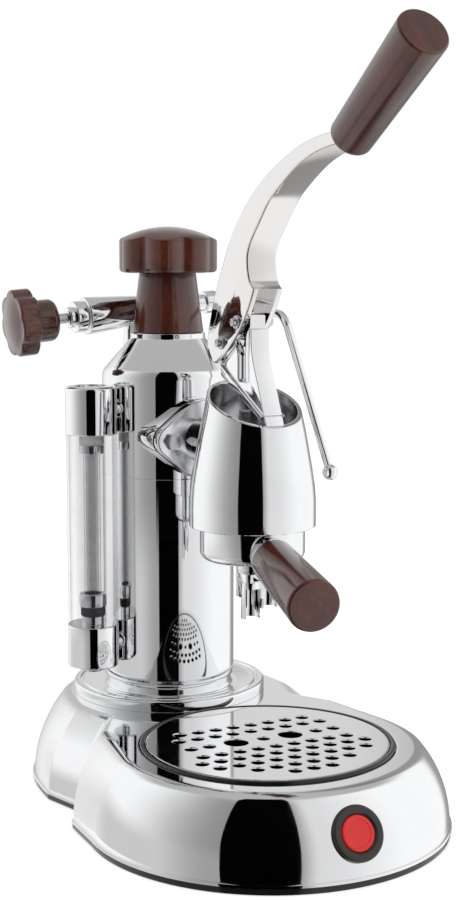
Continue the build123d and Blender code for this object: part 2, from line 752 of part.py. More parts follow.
# steam_stem: turning stem with a threaded bore
stem_in = -28.0
stem_out = -74.0
tail_r = 1.5
tail_back = -36.0
needle_travel = 2.0
with BuildPart() as steam_stem:
    add(section(valve_plane, [
        (stem_out, 0), (stem_out, valve_stem_r), (stem_in, valve_stem_r), (stem_in, tail_r + fit_gap),
        (tail_back - needle_travel - 1.0, tail_r + fit_gap), (tail_back - needle_travel - 1.0, 0),
    ], []))
    revolve(axis=valve_axis)
steam_stem.part.label = "steam_stem"
export_step(steam_stem.part, "parts/steam_stem.step")

# steam_needle: sliding needle
needle_tip = 1.2
needle_body_back = -25.0
with BuildPart() as steam_needle:
    add(section(valve_plane, [
        (tail_back, 0), (tail_back, tail_r), (needle_body_back, tail_r), (needle_body_back, needle_r),
        (seat_s - fit_gap, needle_r), (seat_s - fit_gap, seat_r - fit_gap),
        (seat_s + needle_tip, seat_r - fit_gap), (seat_s + needle_tip, 0),
    ], []))
    revolve(axis=valve_axis)
steam_needle.part.label = "steam_needle"
export_step(steam_needle.part, "parts/steam_needle.step")

# steam_knob: wooden knob of the steam valve
hub_r = 12.6
hub_face = -61.0
lobe_face = -75.5
lobe_end = -87.5
knob_apex = -90.0
steam_reach = 20.2
steam_lobe_r = 8.6
steam_blend = 2.0
steam_turn_deg = 12.0
steam_edge = 1.8
dome_r = steam_reach * 0.78
steam_ball = (dome_r ** 2 + (lobe_end - knob_apex) ** 2) / ((lobe_end - knob_apex) * 2)
knob_axis_plane = Plane(origin=valve_o + valve_a * lobe_face, x_dir=(0, 1, 0), z_dir=valve_a * -1)
with BuildPart() as steam_knob:
    extrude(lobed(knob_axis_plane, steam_reach, steam_lobe_r, cap_lobes, steam_turn_deg, steam_blend),
            amount=lobe_face - lobe_end, dir=valve_a * -1)
    fillet(steam_knob.faces().sort_by(Axis((0, 0, 0), valve_a))[-1].edges(), steam_edge)
    fillet(steam_knob.faces().sort_by(Axis((0, 0, 0), valve_a))[0].edges(), steam_edge)
    with BuildSketch(valve_plane):
        with BuildLine():
            Polyline((knob_apex, 0), (lobe_face, 0), (lobe_face, dome_r), (lobe_end, dome_r))
            ThreePointArc((lobe_end, dome_r),
                          (knob_apex + steam_ball - math.sqrt(steam_ball ** 2 - dome_r ** 2 / 4), dome_r / 2),
                          (knob_apex, 0))
        make_face()
    revolve(axis=valve_axis)
    add(section(valve_plane, [(lobe_face, 0), (lobe_face, hub_r), (hub_face, hub_r), (hub_face, 0)],
                [(2, 4.0)]))
    revolve(axis=valve_axis)
    add(section(valve_plane, [(stem_out - cap_gap, 0), (stem_out - cap_gap, valve_stem_r + fit_gap),
                              (hub_face, valve_stem_r + fit_gap), (hub_face, 0)], []))
    revolve(axis=valve_axis, mode=Mode.SUBTRACT)
steam_knob.part.label = "steam_knob"
export_step(steam_knob.part, "parts/steam_knob.step")

# wand_nut: nut that holds the wand on the barrel
wnut_near = 38.0
wnut_far = 46.0
wnut_r = 7.0
wnut_wall = 1.8
barrel_end = barrel_profile[4][0]
barrel_out = barrel_profile[4][1]
with BuildPart() as wand_nut:
    add(section(valve_plane, [
        (wnut_near, barrel_out + fit_gap), (wnut_near, wnut_r), (wnut_far, wnut_r),
        (wnut_far, wand_r + fit_gap), (wnut_far - wnut_wall, wand_r + fit_gap),
        (wnut_far - wnut_wall, barrel_out + fit_gap),
    ], [(1, 0.8), (2, 0.8)]))
    revolve(axis=valve_axis)
wand_nut.part.label = "wand_nut"
export_step(wand_nut.part, "parts/wand_nut.step")

# steam_wand: bent tube that swivels on the valve axis
wand_s = 50.2
wand_bends = [(0.0, 0.0, 3.9), (82.5, -5.9, 14.0)]
tip_seat = 2.5
tip_at = (124.0, -94.2)
wand_plane = Plane(origin=valve_o + valve_a * wand_s, x_dir=(0, -1, 0), z_dir=valve_a * -1)


def bend_ends(before, corner, after, radius):
    """Start, middle and end of the arc that rounds a corner of a path."""
    inward = (corner - before).normalized()
    outward = (after - corner).normalized()
    half = math.acos(max(-1.0, min(1.0, inward.dot(outward)))) / 2
    reach = radius * math.tan(half)
    side = (outward - inward).normalized()
    return (corner - inward * reach, corner + side * (radius / math.cos(half) - radius),
            corner + outward * reach)


wand_start = valve_o + valve_a * (barrel_end + fit_gap * 2)
corner_one = wand_plane.from_local_coords(Vector(wand_bends[0][0], wand_bends[0][1], 0))
corner_two = wand_plane.from_local_coords(Vector(wand_bends[1][0], wand_bends[1][1], 0))
tip_centre = wand_plane.from_local_coords(Vector(tip_at[0], tip_at[1], 0))
tip_dir = (tip_centre - corner_two).normalized()
wand_last = tip_centre - tip_dir * tip_seat
first = bend_ends(wand_start, corner_one, corner_two, wand_bends[0][2])
second = bend_ends(corner_one, corner_two, tip_centre, wand_bends[1][2])
with BuildLine() as wand_path:
    Line(wand_start, first[0])
    ThreePointArc(first[0], first[1], first[2])
    Line(first[2], second[0])
    ThreePointArc(second[0], second[1], second[2])
    Line(second[2], wand_last)
wand_face = Plane(origin=wand_start, x_dir=(0, 1, 0), z_dir=valve_a)
with BuildPart() as steam_wand:
    with BuildSketch(wand_face) as wand_ring:
        Circle(wand_r)
        Circle(wand_in, mode=Mode.SUBTRACT)
    sweep(sections=wand_ring.sketch, path=wand_path.wires()[0])
    with BuildSketch(wand_face):
        Circle(wand_flange_r)
        Circle(wand_in, mode=Mode.SUBTRACT)
    extrude(amount=wand_flange_t - fit_gap * 4)
steam_wand.part.label = "steam_wand"
export_step(steam_wand.part, "parts/steam_wand.step")

# wand_tip: perforated ball at the end of the wand
tip_r = 4.5
tip_hole = 0.8
tip_plane = Plane(origin=tip_centre, x_dir=(1, 0, 0), z_dir=tip_dir)
with BuildPart() as wand_tip:
    with Locations(tip_plane):
        Sphere(tip_r)
    with BuildSketch(tip_plane):
        Circle(tip_hole)
    extrude(amount=tip_r * 2, mode=Mode.SUBTRACT)
    with BuildSketch(Plane(origin=wand_last, x_dir=(1, 0, 0), z_dir=tip_dir)):
        Circle(wand_r + fit_gap)
    extrude(amount=-tip_r * 2, mode=Mode.SUBTRACT)
wand_tip.part.label = "wand_tip"
export_step(wand_tip.part, "parts/wand_tip.step")

# sight glass
gauge_block_r = 15.2
gauge_top = 234.3
gauge_top_low = 206.2
gauge_bot_top = 93.5
gauge_bot_low = 68.5
gauge_step_r = 6.6
gauge_step_h = 5.0
gauge_boss_r = 7.0
glass_r = 5.0
glass_in = 3.6
glass_seat = 3.5
bore_past = 2.0
gauge_plane = upright(gauge_x, gauge_y)
gauge_axis = upright_axis(gauge_x, gauge_y)
glass_bore = glass_r + fit_gap
to_boiler = Vector(-gauge_x, -gauge_y, 0).normalized()


def gauge_disc(height, radius):
    """Round sketch on the sight glass axis that faces the boiler."""
    plane = Plane(origin=(gauge_x, gauge_y, height), x_dir=(0, 0, 1), z_dir=(-gauge_x, -gauge_y, 0))
    with BuildSketch(plane) as face:
        Circle(radius)
    return face.sketch


# gauge_top_block: upper fitting of the sight glass
recess_r = 10.0
recess_h = 0.8
with BuildPart() as gauge_top_block:
    add(section(gauge_plane, [
        (0, gauge_top_low), (gauge_block_r, gauge_top_low), (gauge_block_r, gauge_top),
        (recess_r, gauge_top), (recess_r, gauge_top - recess_h), (0, gauge_top - recess_h),
    ], [(1, 0.6), (2, 3.0)]))
    revolve(axis=gauge_axis)
    extrude(gauge_disc(gauge_high_z, gauge_boss_r), amount=gauge_far - boiler_r * 0.9, dir=to_boiler)
    with Locations((0, 0, gauge_high_z - gauge_boss_r * 2)):
        Cylinder(boiler_r, gauge_boss_r * 4, align=low, mode=Mode.SUBTRACT)
    extrude(gauge_disc(gauge_high_z, port_r), amount=gauge_far, dir=to_boiler, mode=Mode.SUBTRACT)
    with Locations((gauge_x, gauge_y, gauge_top_low)):
        Cylinder(glass_in, gauge_high_z + bore_past - gauge_top_low, align=low, mode=Mode.SUBTRACT)
        Cylinder(glass_bore, glass_seat, align=low, mode=Mode.SUBTRACT)
gauge_top_block.part.label = "gauge_top_block"
export_step(gauge_top_block.part, "parts/gauge_top_block.step")

# gauge_bottom_block: lower fitting of the sight glass
gscrew_r = 3.0
gscrew_deep = 7.0
with BuildPart() as gauge_bottom_block:
    add(section(gauge_plane, [
        (0, gauge_bot_low), (gauge_block_r, gauge_bot_low), (gauge_block_r, gauge_bot_top),
        (gauge_step_r, gauge_bot_top), (gauge_step_r, gauge_bot_top + gauge_step_h),
        (0, gauge_bot_top + gauge_step_h),
    ], [(1, 1.2), (2, 0.6)]))
    revolve(axis=gauge_axis)
    extrude(gauge_disc(gauge_low_z, gauge_boss_r), amount=gauge_far - boiler_r * 0.9, dir=to_boiler)
    with Locations((0, 0, gauge_low_z - gauge_boss_r * 2)):
        Cylinder(boiler_r, gauge_boss_r * 4, align=low, mode=Mode.SUBTRACT)
    extrude(gauge_disc(gauge_low_z, port_r), amount=gauge_far, dir=to_boiler, mode=Mode.SUBTRACT)
    with Locations((gauge_x, gauge_y, gauge_low_z - bore_past)):
        Cylinder(glass_in, gauge_bot_top + gauge_step_h, align=low, mode=Mode.SUBTRACT)
    with Locations((gauge_x, gauge_y, gauge_bot_top - glass_seat)):
        Cylinder(glass_bore, gauge_bot_top, align=low, mode=Mode.SUBTRACT)
    with Locations((gauge_x, gauge_y, gauge_bot_low)):
        Cylinder(gscrew_r, gscrew_deep, align=low, mode=Mode.SUBTRACT)
gauge_bottom_block.part.label = "gauge_bottom_block"
export_step(gauge_bottom_block.part, "parts/gauge_bottom_block.step")

# gauge_screw: plug screw under the lower block
gscrew_head_r = 5.5
gscrew_head_h = 3.4
gscrew_slot = 1.4
with BuildPart() as gauge_screw:
    with Locations((gauge_x, gauge_y, gauge_bot_low - gscrew_head_h)):
        Cylinder(gscrew_head_r, gscrew_head_h, align=low)
        Cylinder(gscrew_r - fit_gap, gscrew_head_h + gscrew_deep, align=low)
        Box(gscrew_head_r * 2, gscrew_slot, gscrew_slot * 2, mode=Mode.SUBTRACT)
gauge_screw.part.label = "gauge_screw"
export_step(gauge_screw.part, "parts/gauge_screw.step")

# gauge_glass: glass tube
with BuildPart() as gauge_glass:
    with Locations((gauge_x, gauge_y, gauge_bot_top - glass_seat)):
        Cylinder(glass_r, gauge_top_low - gauge_bot_top + glass_seat * 2, align=low)
        Cylinder(glass_in, gauge_top_low - gauge_bot_top + glass_seat * 2, align=low, mode=Mode.SUBTRACT)
gauge_glass.part.label = "gauge_glass"
export_step(gauge_glass.part, "parts/gauge_glass.step")

# seals and nuts of the glass tube
seal_r = 7.2
top_seal_h = 6.2
top_nut_r = 7.5
top_nut_h = 5.2
bot_seal_h = 5.5
cup_r = 8.0
cup_h = 7.7
ring_sizes = {
    "gauge_top_seal": (seal_r, gauge_top_low - top_seal_h, top_seal_h),
    "gauge_top_nut": (top_nut_r, gauge_top_low - top_seal_h - top_nut_h, top_nut_h),
    "gauge_bottom_seal": (seal_r, gauge_bot_top + gauge_step_h, bot_seal_h),
    "gauge_bottom_nut": (cup_r, gauge_bot_top + gauge_step_h + bot_seal_h, cup_h),
}


def glass_ring(name):
    """Ring round the glass tube, by its row in ring_sizes."""
    outer, start, height = ring_sizes[name]
    with BuildPart() as ring:
        with Locations((gauge_x, gauge_y, start)):
            Cylinder(outer, height, align=low)
            chamfer(ring.edges().filter_by(GeomType.CIRCLE), 0.5)
            Cylinder(glass_bore, height, align=low, mode=Mode.SUBTRACT)
    return ring


# gauge_top_seal: pale seal under the upper block
gauge_top_seal = glass_ring("gauge_top_seal")
gauge_top_seal.part.label = "gauge_top_seal"
export_step(gauge_top_seal.part, "parts/gauge_top_seal.step")

# gauge_top_nut: ring nut under the upper seal
gauge_top_nut = glass_ring("gauge_top_nut")
gauge_top_nut.part.label = "gauge_top_nut"
export_step(gauge_top_nut.part, "parts/gauge_top_nut.step")

# gauge_bottom_seal: dark seal over the lower block
gauge_bottom_seal = glass_ring("gauge_bottom_seal")
gauge_bottom_seal.part.label = "gauge_bottom_seal"
export_step(gauge_bottom_seal.part, "parts/gauge_bottom_seal.step")

# gauge_bottom_nut: cup nut over the lower seal
gauge_bottom_nut = glass_ring("gauge_bottom_nut")
gauge_bottom_nut.part.label = "gauge_bottom_nut"
export_step(gauge_bottom_nut.part, "parts/gauge_bottom_nut.step")

# gauge_shield: clear guard tube with a slot toward the boiler
shield_r = 14.8
shield_in = 13.4
shield_slot = 12.0
with BuildPart() as gauge_shield:
    with Locations((gauge_x, gauge_y, gauge_bot_top)):
        Cylinder(shield_r, gauge_top_low - gauge_bot_top, align=low)
        Cylinder(shield_in, gauge_top_low - gauge_bot_top, align=low, mode=Mode.SUBTRACT)
    with Locations(Location((gauge_x, gauge_y, gauge_bot_top), (0, 0, math.degrees(math.atan2(gauge_y, gauge_x))))):
        Box(shield_r * 2, shield_slot, gauge_top_low, align=(Align.MAX, Align.CENTER, Align.MIN),
            mode=Mode.SUBTRACT)
gauge_shield.part.label = "gauge_shield"
export_step(gauge_shield.part, "parts/gauge_shield.step")

# group: casting with the bell, the neck, the flange and the lever block
bell_low = 163.6
bell_outer = [(34.6, 163.6), (34.6, 176.0)]
bell_curve = [(34.6, 176.0), (33.4, 190.0), (31.0, 204.0), (28.4, 218.0), (26.2, 228.0), (25.0, 236.0),
              (24.0, 244.0)]
bell_wall = 2.2
mouth_r = 30.0
lip_floor = 165.6
groove_r = 33.0
groove_top = 170.8
seat_bore = 29.7
seat_top = 176.2
web_r = 26.7
web_top = 183.0
cut_z = 231.3
cut_slope = 0.42
block_x = 5.5
cut_high = 60.0
column = [(-136.5, 220.0), (-131.8, 229.9), (-125.8, 243.0), (-119.8, 257.0), (-118.7, 271.0),
          (-116.5, 271.0), (-116.5, 242.0), (-103.1, 242.0), (-103.1, 256.0), (-98.5, 267.2),
          (-90.5, 262.2), (-81.1, 262.0), (-84.0, 250.0), (-85.8, 243.8), (-132.6, 223.1)]
pivot = (-90.5, 262.2)
ear_r = 9.4
ledge = [(-85.1, 249.9), (-134.4, 225.5), (-132.6, 223.1), (-85.8, 243.8)]
ledge_x = 7.2
rod_r = 4.0
rod_clear = 0.2
pin_shaft = 2.2
neck_z = 204.0
neck_r = 14.0
flange_t = 6.0
fgasket_t = 1.5
flange_front = group_boss_face - fgasket_t
lug_half = 12.0
lug_r = 32.6
turn_deg = 40.0
turn_drop = 1.0
lug_low = 165.9
lug_top = 169.4
handle_deg = -101.0
ramp_steps = 5
ramp_span = 8.0
ramp_gap = 0.3
slot_half = 14.0
side_plane = Plane.YZ


def side_section(points):
    """Closed outline drawn in the side view; points are (y, z)."""
    with BuildSketch(side_plane) as face:
        with BuildLine():
            Polyline(*points, close=True)
        make_face()
    return face.sketch


def sector(radius, start, stop, height, amount):
    """Pie sector about the group axis, between two angles in degrees."""
    mid = math.radians((start + stop) / 2)
    one = math.radians(start)
    two = math.radians(stop)
    with BuildSketch(Plane.XY.offset(height)) as face:
        with BuildLine():
            Line((0, group_y), (radius * math.cos(one), group_y + radius * math.sin(one)))
            ThreePointArc((radius * math.cos(one), group_y + radius * math.sin(one)),
                          (radius * math.cos(mid), group_y + radius * math.sin(mid)),
                          (radius * math.cos(two), group_y + radius * math.sin(two)))
            Line((radius * math.cos(two), group_y + radius * math.sin(two)), (0, group_y))
        make_face()
    return extrude(face.sketch, amount=amount, mode=Mode.PRIVATE)


bell_inner = [(r - bell_wall, z) for r, z in bell_curve if z > web_top]
start_r = bell_inner[0][0] + 0.6
with BuildPart() as bell_core:
    with BuildSketch(group_plane):
        with BuildLine():
            Polyline((start_r, web_top), (web_r, web_top), (web_r, seat_top), (seat_bore, seat_top),
                     (seat_bore, groove_top), (groove_r, groove_top), (groove_r, lip_floor),
                     (mouth_r, lip_floor), (mouth_r, bell_low), (0, bell_low), (0, bell_inner[-1][1]),
                     bell_inner[-1])
            Spline((start_r, web_top), *bell_inner)
        make_face()
    revolve(axis=group_axis)

# entry slots and ramps of the bayonet
ramp_r = lug_r + free_gap / 2
with BuildPart() as bayonet:
    for side in (-90.0, 90.0):
        base_deg = handle_deg + side
        add(sector(ramp_r, base_deg - turn_deg - slot_half, base_deg - turn_deg + slot_half,
                   bell_low - free_gap, lip_floor - bell_low + free_gap * 2))
        for step in range(ramp_steps):
            stop = base_deg + lug_half - step * ramp_span
            depth = (step + 1) * turn_drop / ramp_steps
            add(sector(ramp_r, stop - ramp_span - 1.0, stop, lip_floor - depth, depth + free_gap))
    with Locations((0, group_y, bell_low - free_gap)):
        Cylinder(mouth_r - free_gap, groove_top, align=low, mode=Mode.SUBTRACT)

# group_casting: the casting itself
with BuildPart() as group_casting:
    with BuildSketch(group_plane):
        with BuildLine():
            Polyline(bell_outer[1], bell_outer[0], (0, bell_low), (0, bell_curve[-1][1]), bell_curve[-1])
            Spline(*bell_curve, tangents=[(0, 1), (-0.12, 1)])
        make_face()
    revolve(axis=group_axis)
    # neck and flange
    with BuildSketch(Plane(origin=(0, flange_front, neck_z), x_dir=(1, 0, 0), z_dir=(0, -1, 0))):
        Circle(neck_r)
    extrude(amount=flange_front - group_y)
    extrude(flange_shape(Plane(origin=(0, flange_front, flange_z), x_dir=(1, 0, 0), z_dir=(0, -1, 0)),
                         0, bolt_r + fit_gap), amount=flange_t, dir=Vector(0, -1, 0))
    add(bell_core.part, mode=Mode.SUBTRACT)
    # oblique openings
    cut_plane = Plane(origin=(0, group_y, cut_z), x_dir=(1, 0, 0), z_dir=(0, -cut_slope, 1))
    with BuildSketch(cut_plane):
        Rectangle(cut_high * 2, cut_high * 2)
    extrude(amount=cut_high, mode=Mode.SUBTRACT)
    # lever block, ears and ledge
    extrude(side_section(column), amount=block_x, both=True, dir=Vector(1, 0, 0))
    with BuildSketch(side_plane):
        with Locations(pivot):
            Circle(ear_r)
    extrude(amount=block_x, both=True)
    extrude(side_section(ledge), amount=ledge_x, both=True, dir=Vector(1, 0, 0))
    # bores
    with Locations((0, group_y, web_top)):
        Cylinder(rod_r + rod_clear, cut_high * 2, align=low, mode=Mode.SUBTRACT)
    with BuildSketch(side_plane):
        with Locations(pivot):
            Circle(pin_shaft + fit_gap)
    extrude(amount=ledge_x * 2, both=True, mode=Mode.SUBTRACT)
    with BuildSketch(Plane(origin=(0, flange_front, neck_z), x_dir=(1, 0, 0), z_dir=(0, -1, 0))):
        Circle(water_r)
    extrude(amount=flange_front - group_y, mode=Mode.SUBTRACT)
    add(bayonet.part, mode=Mode.SUBTRACT)
group_casting.part.label = "group_casting"
export_step(group_casting.part, "parts/group_casting.step")

# flange_gasket: gasket between the casting and the boiler
with BuildPart() as flange_gasket:
    extrude(flange_shape(flange_plane, water_r, bolt_r + fit_gap), amount=fgasket_t, dir=Vector(0, -1, 0))
flange_gasket.part.label = "flange_gasket"
export_step(flange_gasket.part, "parts/flange_gasket.step")

# flange_bolts: two bolts of the flange
bolt_across = 8.6
bolt_head = 4.0
with BuildPart() as flange_bolts:
    for side in (-1, 1):
        head_plane = Plane(origin=(side * bolt_x, flange_front - flange_t, flange_z), x_dir=(0, 0, 1),
                           z_dir=(0, -1, 0))
        with BuildSketch(head_plane):
            RegularPolygon(bolt_across / 2, 6, major_radius=False)
        extrude(amount=bolt_head)
        with BuildSketch(head_plane):
            Circle(bolt_r - fit_gap)
        extrude(amount=-flange_t - fgasket_t - bolt_deep + cap_gap)
flange_bolts.part.label = "flange_bolts"
export_step(flange_bolts.part, "parts/flange_bolts.step")

# group_sleeve: cylinder sleeve with its cap and gland hub
sleeve_in = 24.5
sleeve_out = web_r - fit_gap * 2
sleeve_low = 172.0
sleeve_top = 212.2
sleeve_cap = 2.8
hub_out = 8.0
hub_top = 224.0
pack_r = 6.05
pack_low = 218.0
inlet_hole = 1.5
inlet_hole_z = 196.5
with BuildPart() as group_sleeve:
    add(section(group_plane, [
        (rod_r + rod_clear, sleeve_top), (sleeve_in, sleeve_top), (sleeve_in, sleeve_low),
        (sleeve_out, sleeve_low), (sleeve_out, sleeve_top + sleeve_cap), (hub_out, sleeve_top + sleeve_cap),
        (hub_out, hub_top), (pack_r, hub_top), (pack_r, pack_low), (rod_r + rod_clear, pack_low),
    ], []))
    revolve(axis=group_axis)
    with Locations((0, group_y, inlet_hole_z)):
        for turn in range(3):
            with Locations(Location((0, 0, 0), (90, 0, turn * 60 + 30))):
                Cylinder(inlet_hole, sleeve_out * 3, mode=Mode.SUBTRACT)
group_sleeve.part.label = "group_sleeve"
export_step(group_sleeve.part, "parts/group_sleeve.step")

# rod_gland: gland nut round the rod
gland_top = 227.0
gland_r = 7.5
with BuildPart() as rod_gland:
    add(section(group_plane, [
        (rod_r + fit_gap, pack_low + 1.0), (pack_r - fit_gap, pack_low + 1.0), (pack_r - fit_gap, hub_top),
        (gland_r, hub_top), (gland_r, gland_top), (rod_r + fit_gap, gland_top),
    ], [(4, 0.6)]))
    revolve(axis=group_axis)
rod_gland.part.label = "rod_gland"
export_step(rod_gland.part, "parts/rod_gland.step")

# piston: pumps inside the sleeve
piston_r = 24.2
piston_low = 199.6
piston_h = 12.0
ring_h = 2.4
ring_deep = 1.6
ring_zs = (201.6, 207.2)
rod_in = 8.0
with BuildPart() as piston:
    with Locations((0, group_y, piston_low)):
        Cylinder(piston_r, piston_h, align=low)
    for ring_z in ring_zs:
        with Locations((0, group_y, ring_z)):
            Cylinder(piston_r * 2, ring_h, align=low, mode=Mode.SUBTRACT)
            Cylinder(piston_r - ring_deep, ring_h, align=low)
    with Locations((0, group_y, piston_low + piston_h - rod_in)):
        Cylinder(rod_r + fit_gap, rod_in, align=low, mode=Mode.SUBTRACT)
piston.part.label = "piston"
export_step(piston.part, "parts/piston.step")

# piston_seals: two rubber rings of the piston
with BuildPart() as piston_seals:
    for ring_z in ring_zs:
        with Locations((0, group_y, ring_z)):
            Cylinder(sleeve_in - fit_gap, ring_h, align=low)
            Cylinder(piston_r - ring_deep, ring_h, align=low, mode=Mode.SUBTRACT)
piston_seals.part.label = "piston_seals"
export_step(piston_seals.part, "parts/piston_seals.step")

# piston_rod: rod with the slotted head
head_y = (-116.1, -103.5)
head_z = (269.35, 279.05)
head_x = 4.5
rod_slot_y = (-114.8, -105.05)
rod_slot_half = 2.65
rod_pin_at = (-108.95, 274.2)
with BuildPart() as piston_rod:
    with Locations((0, group_y, piston_low + piston_h - rod_in)):
        Cylinder(rod_r, head_z[0] + 1.0 - piston_low - piston_h + rod_in, align=low)
    with BuildSketch(side_plane):
        with Locations(((head_y[0] + head_y[1]) / 2, (head_z[0] + head_z[1]) / 2)):
            RectangleRounded(head_y[1] - head_y[0], head_z[1] - head_z[0], 1.2)
        with Locations(((rod_slot_y[0] + rod_slot_y[1]) / 2, rod_pin_at[1])):
            RectangleRounded(rod_slot_y[1] - rod_slot_y[0], rod_slot_half * 2, rod_slot_half - 0.05,
                             mode=Mode.SUBTRACT)
    extrude(amount=head_x, both=True)
piston_rod.part.label = "piston_rod"
export_step(piston_rod.part, "parts/piston_rod.step")

# shower_screen: perforated disc under the sleeve
screen_t = 1.1
screen_r = 26.4
screen_hole = 0.9
screen_rs = (6.0, 12.0, 18.0)
ring_count = 6
with BuildPart() as shower_screen:
    with BuildSketch(Plane.XY.offset(sleeve_low)):
        with Locations((0, group_y)):
            Circle(screen_r)
            Circle(screen_hole, mode=Mode.SUBTRACT)
            for index, ring_at in enumerate(screen_rs):
                with PolarLocations(ring_at, ring_count * (index + 1)):
                    Circle(screen_hole, mode=Mode.SUBTRACT)
    extrude(amount=-screen_t)
shower_screen.part.label = "shower_screen"
export_step(shower_screen.part, "parts/shower_screen.step")

# group_gasket: seal that the basket is pressed against
ggasket_in = 26.9
ggasket_low = 171.0
with BuildPart() as group_gasket:
    with Locations((0, group_y, ggasket_low)):
        Cylinder(seat_bore - fit_gap * 2, seat_top - ggasket_low, align=low)
        Cylinder(ggasket_in, seat_top - ggasket_low, align=low, mode=Mode.SUBTRACT)
group_gasket.part.label = "group_gasket"
export_step(group_gasket.part, "parts/group_gasket.step")

# lever
fork_x = 9.0
fork_in = 5.8
fork_rear = [(-209.2, 369.2), (-193.4, 367.5), (-177.0, 364.4), (-160.0, 358.8), (-142.3, 351.3),
             (-124.0, 340.5), (-110.5, 329.6), (-100.8, 319.1), (-93.7, 308.5), (-87.7, 298.6),
             (-80.2, 285.3), (-75.7, 274.1), (-72.1, 261.5), (-72.8, 255.6), (-76.7, 251.5),
             (-82.5, 250.2)]
fork_low = [(-82.5, 250.2), (-92.6, 255.6), (-101.1, 261.4), (-109.5, 268.3), (-116.9, 276.1),
            (-122.5, 283.3), (-127.9, 292.3)]
fork_front = [(-127.9, 292.3), (-124.1, 294.8), (-120.9, 301.7), (-120.3, 309.5), (-125.0, 318.2),
              (-133.3, 326.7), (-144.2, 337.4), (-156.6, 345.4), (-170.4, 352.6), (-183.7, 357.7),
              (-199.8, 361.2), (-213.9, 362.8)]
slot_line = [(-150.0, 291.6), (-60.0, 294.4), (-60.0, 230.0), (-150.0, 230.0)]
grip_low = (-209.4, 364.9)
grip_top = (-272.6, 408.6)
grip_r_low = 10.9
grip_r_top = 12.9
tang_r = 4.0
tang_in = 30.0
grip_dir = Vector(0, grip_top[0] - grip_low[0], grip_top[1] - grip_low[1]).normalized()
grip_origin = Vector(0, grip_low[0], grip_low[1])
grip_len = math.hypot(grip_top[0] - grip_low[0], grip_top[1] - grip_low[1])
grip_plane = Plane(origin=grip_origin, x_dir=(1, 0, 0), z_dir=grip_dir)
grip_side = Plane(origin=grip_origin, x_dir=grip_dir, z_dir=(1, 0, 0))

# lever_fork: bent bar with two cheeks
with BuildPart() as lever_fork:
    with BuildSketch(side_plane):
        with BuildLine():
            Spline(*fork_rear)
            Spline(*fork_low)
            Spline(*fork_front)
            Line(fork_front[-1], fork_rear[0])
        make_face()
    extrude(amount=fork_x, both=True)
    extrude(side_section(slot_line), amount=fork_in, both=True, dir=Vector(1, 0, 0), mode=Mode.SUBTRACT)
    with BuildSketch(side_plane):
        with Locations(pivot, rod_pin_at):
            Circle(pin_shaft + fit_gap)
    extrude(amount=fork_x * 2, both=True, mode=Mode.SUBTRACT)
    with BuildSketch(grip_plane):
        Circle(tang_r)
    extrude(amount=tang_in)
    with BuildSketch(grip_plane):
        Circle(tang_r)
    extrude(amount=-tang_r)
lever_fork.part.label = "lever_fork"
export_step(lever_fork.part, "parts/lever_fork.step")

# lever_handle: wooden grip of the lever
with BuildPart() as lever_handle:
    add(section(grip_side, [(0, 0), (0, grip_r_low), (grip_len, grip_r_top), (grip_len, 0)],
                [(1, 6.5), (2, 1.0)]))
    revolve(axis=Axis(grip_origin, grip_dir))
    add(lever_fork.part, mode=Mode.SUBTRACT)
    with BuildSketch(grip_plane):
        Circle(tang_r + fit_gap)
    extrude(amount=tang_in + fit_gap, mode=Mode.SUBTRACT)
lever_handle.part.label = "lever_handle"
export_step(lever_handle.part, "parts/lever_handle.step")

# pins of the lever
pin_out = 14.0
pin_head_r = 3.2
pin_head_t = 1.6
clip_r = 3.6
clip_t = 1.0
for name, spot in (("fulcrum_pin", pivot), ("rod_pin", rod_pin_at)):
    with BuildPart() as pin:
        with BuildSketch(side_plane):
            with Locations(spot):
                Circle(pin_shaft)
        extrude(amount=pin_out - pin_head_t, both=True)
        chamfer(pin.edges().filter_by(GeomType.CIRCLE), 0.4)
    pin.part.label = name
    export_step(pin.part, "parts/" + name + ".step")

# pin_clips: four clips that hold the pins
with BuildPart() as pin_clips:
    for side in (-1, 1):
        with BuildSketch(side_plane.offset(side * (fork_x + clip_t / 2))):
            with Locations(pivot, rod_pin_at):
                Circle(clip_r)
                Circle(pin_shaft, mode=Mode.SUBTRACT)
        extrude(amount=clip_t / 2, both=True)
pin_clips.part.label = "pin_clips"
export_step(pin_clips.part, "parts/pin_clips.step")

# portafilter
pf_r = 28.8
pf_low = 145.0
pf_step = 163.3
pf_collar_r = 29.4
pf_top = 169.5
pf_in = 26.8
pf_floor = 148.2
pf_hole = 3.0
pf_slope = 8.5
pf_axis_z = 156.8
arm_r = 5.0
arm_from = 26.9
arm_to = 80.0
handle_ang = math.radians(handle_deg)
pf_dir = Vector(math.cos(handle_ang) * math.cos(math.radians(pf_slope)),
                math.sin(handle_ang) * math.cos(math.radians(pf_slope)), -math.sin(math.radians(pf_slope)))
pf_origin = Vector(0, group_y, pf_axis_z)
pf_side = Vector(-math.sin(handle_ang), math.cos(handle_ang), 0)
pf_arm_plane = Plane(origin=pf_origin, x_dir=pf_side, z_dir=pf_dir)
pf_arm_section = Plane(origin=pf_origin, x_dir=pf_dir, z_dir=pf_side)
pf_arm_axis = Axis(pf_origin, pf_dir)

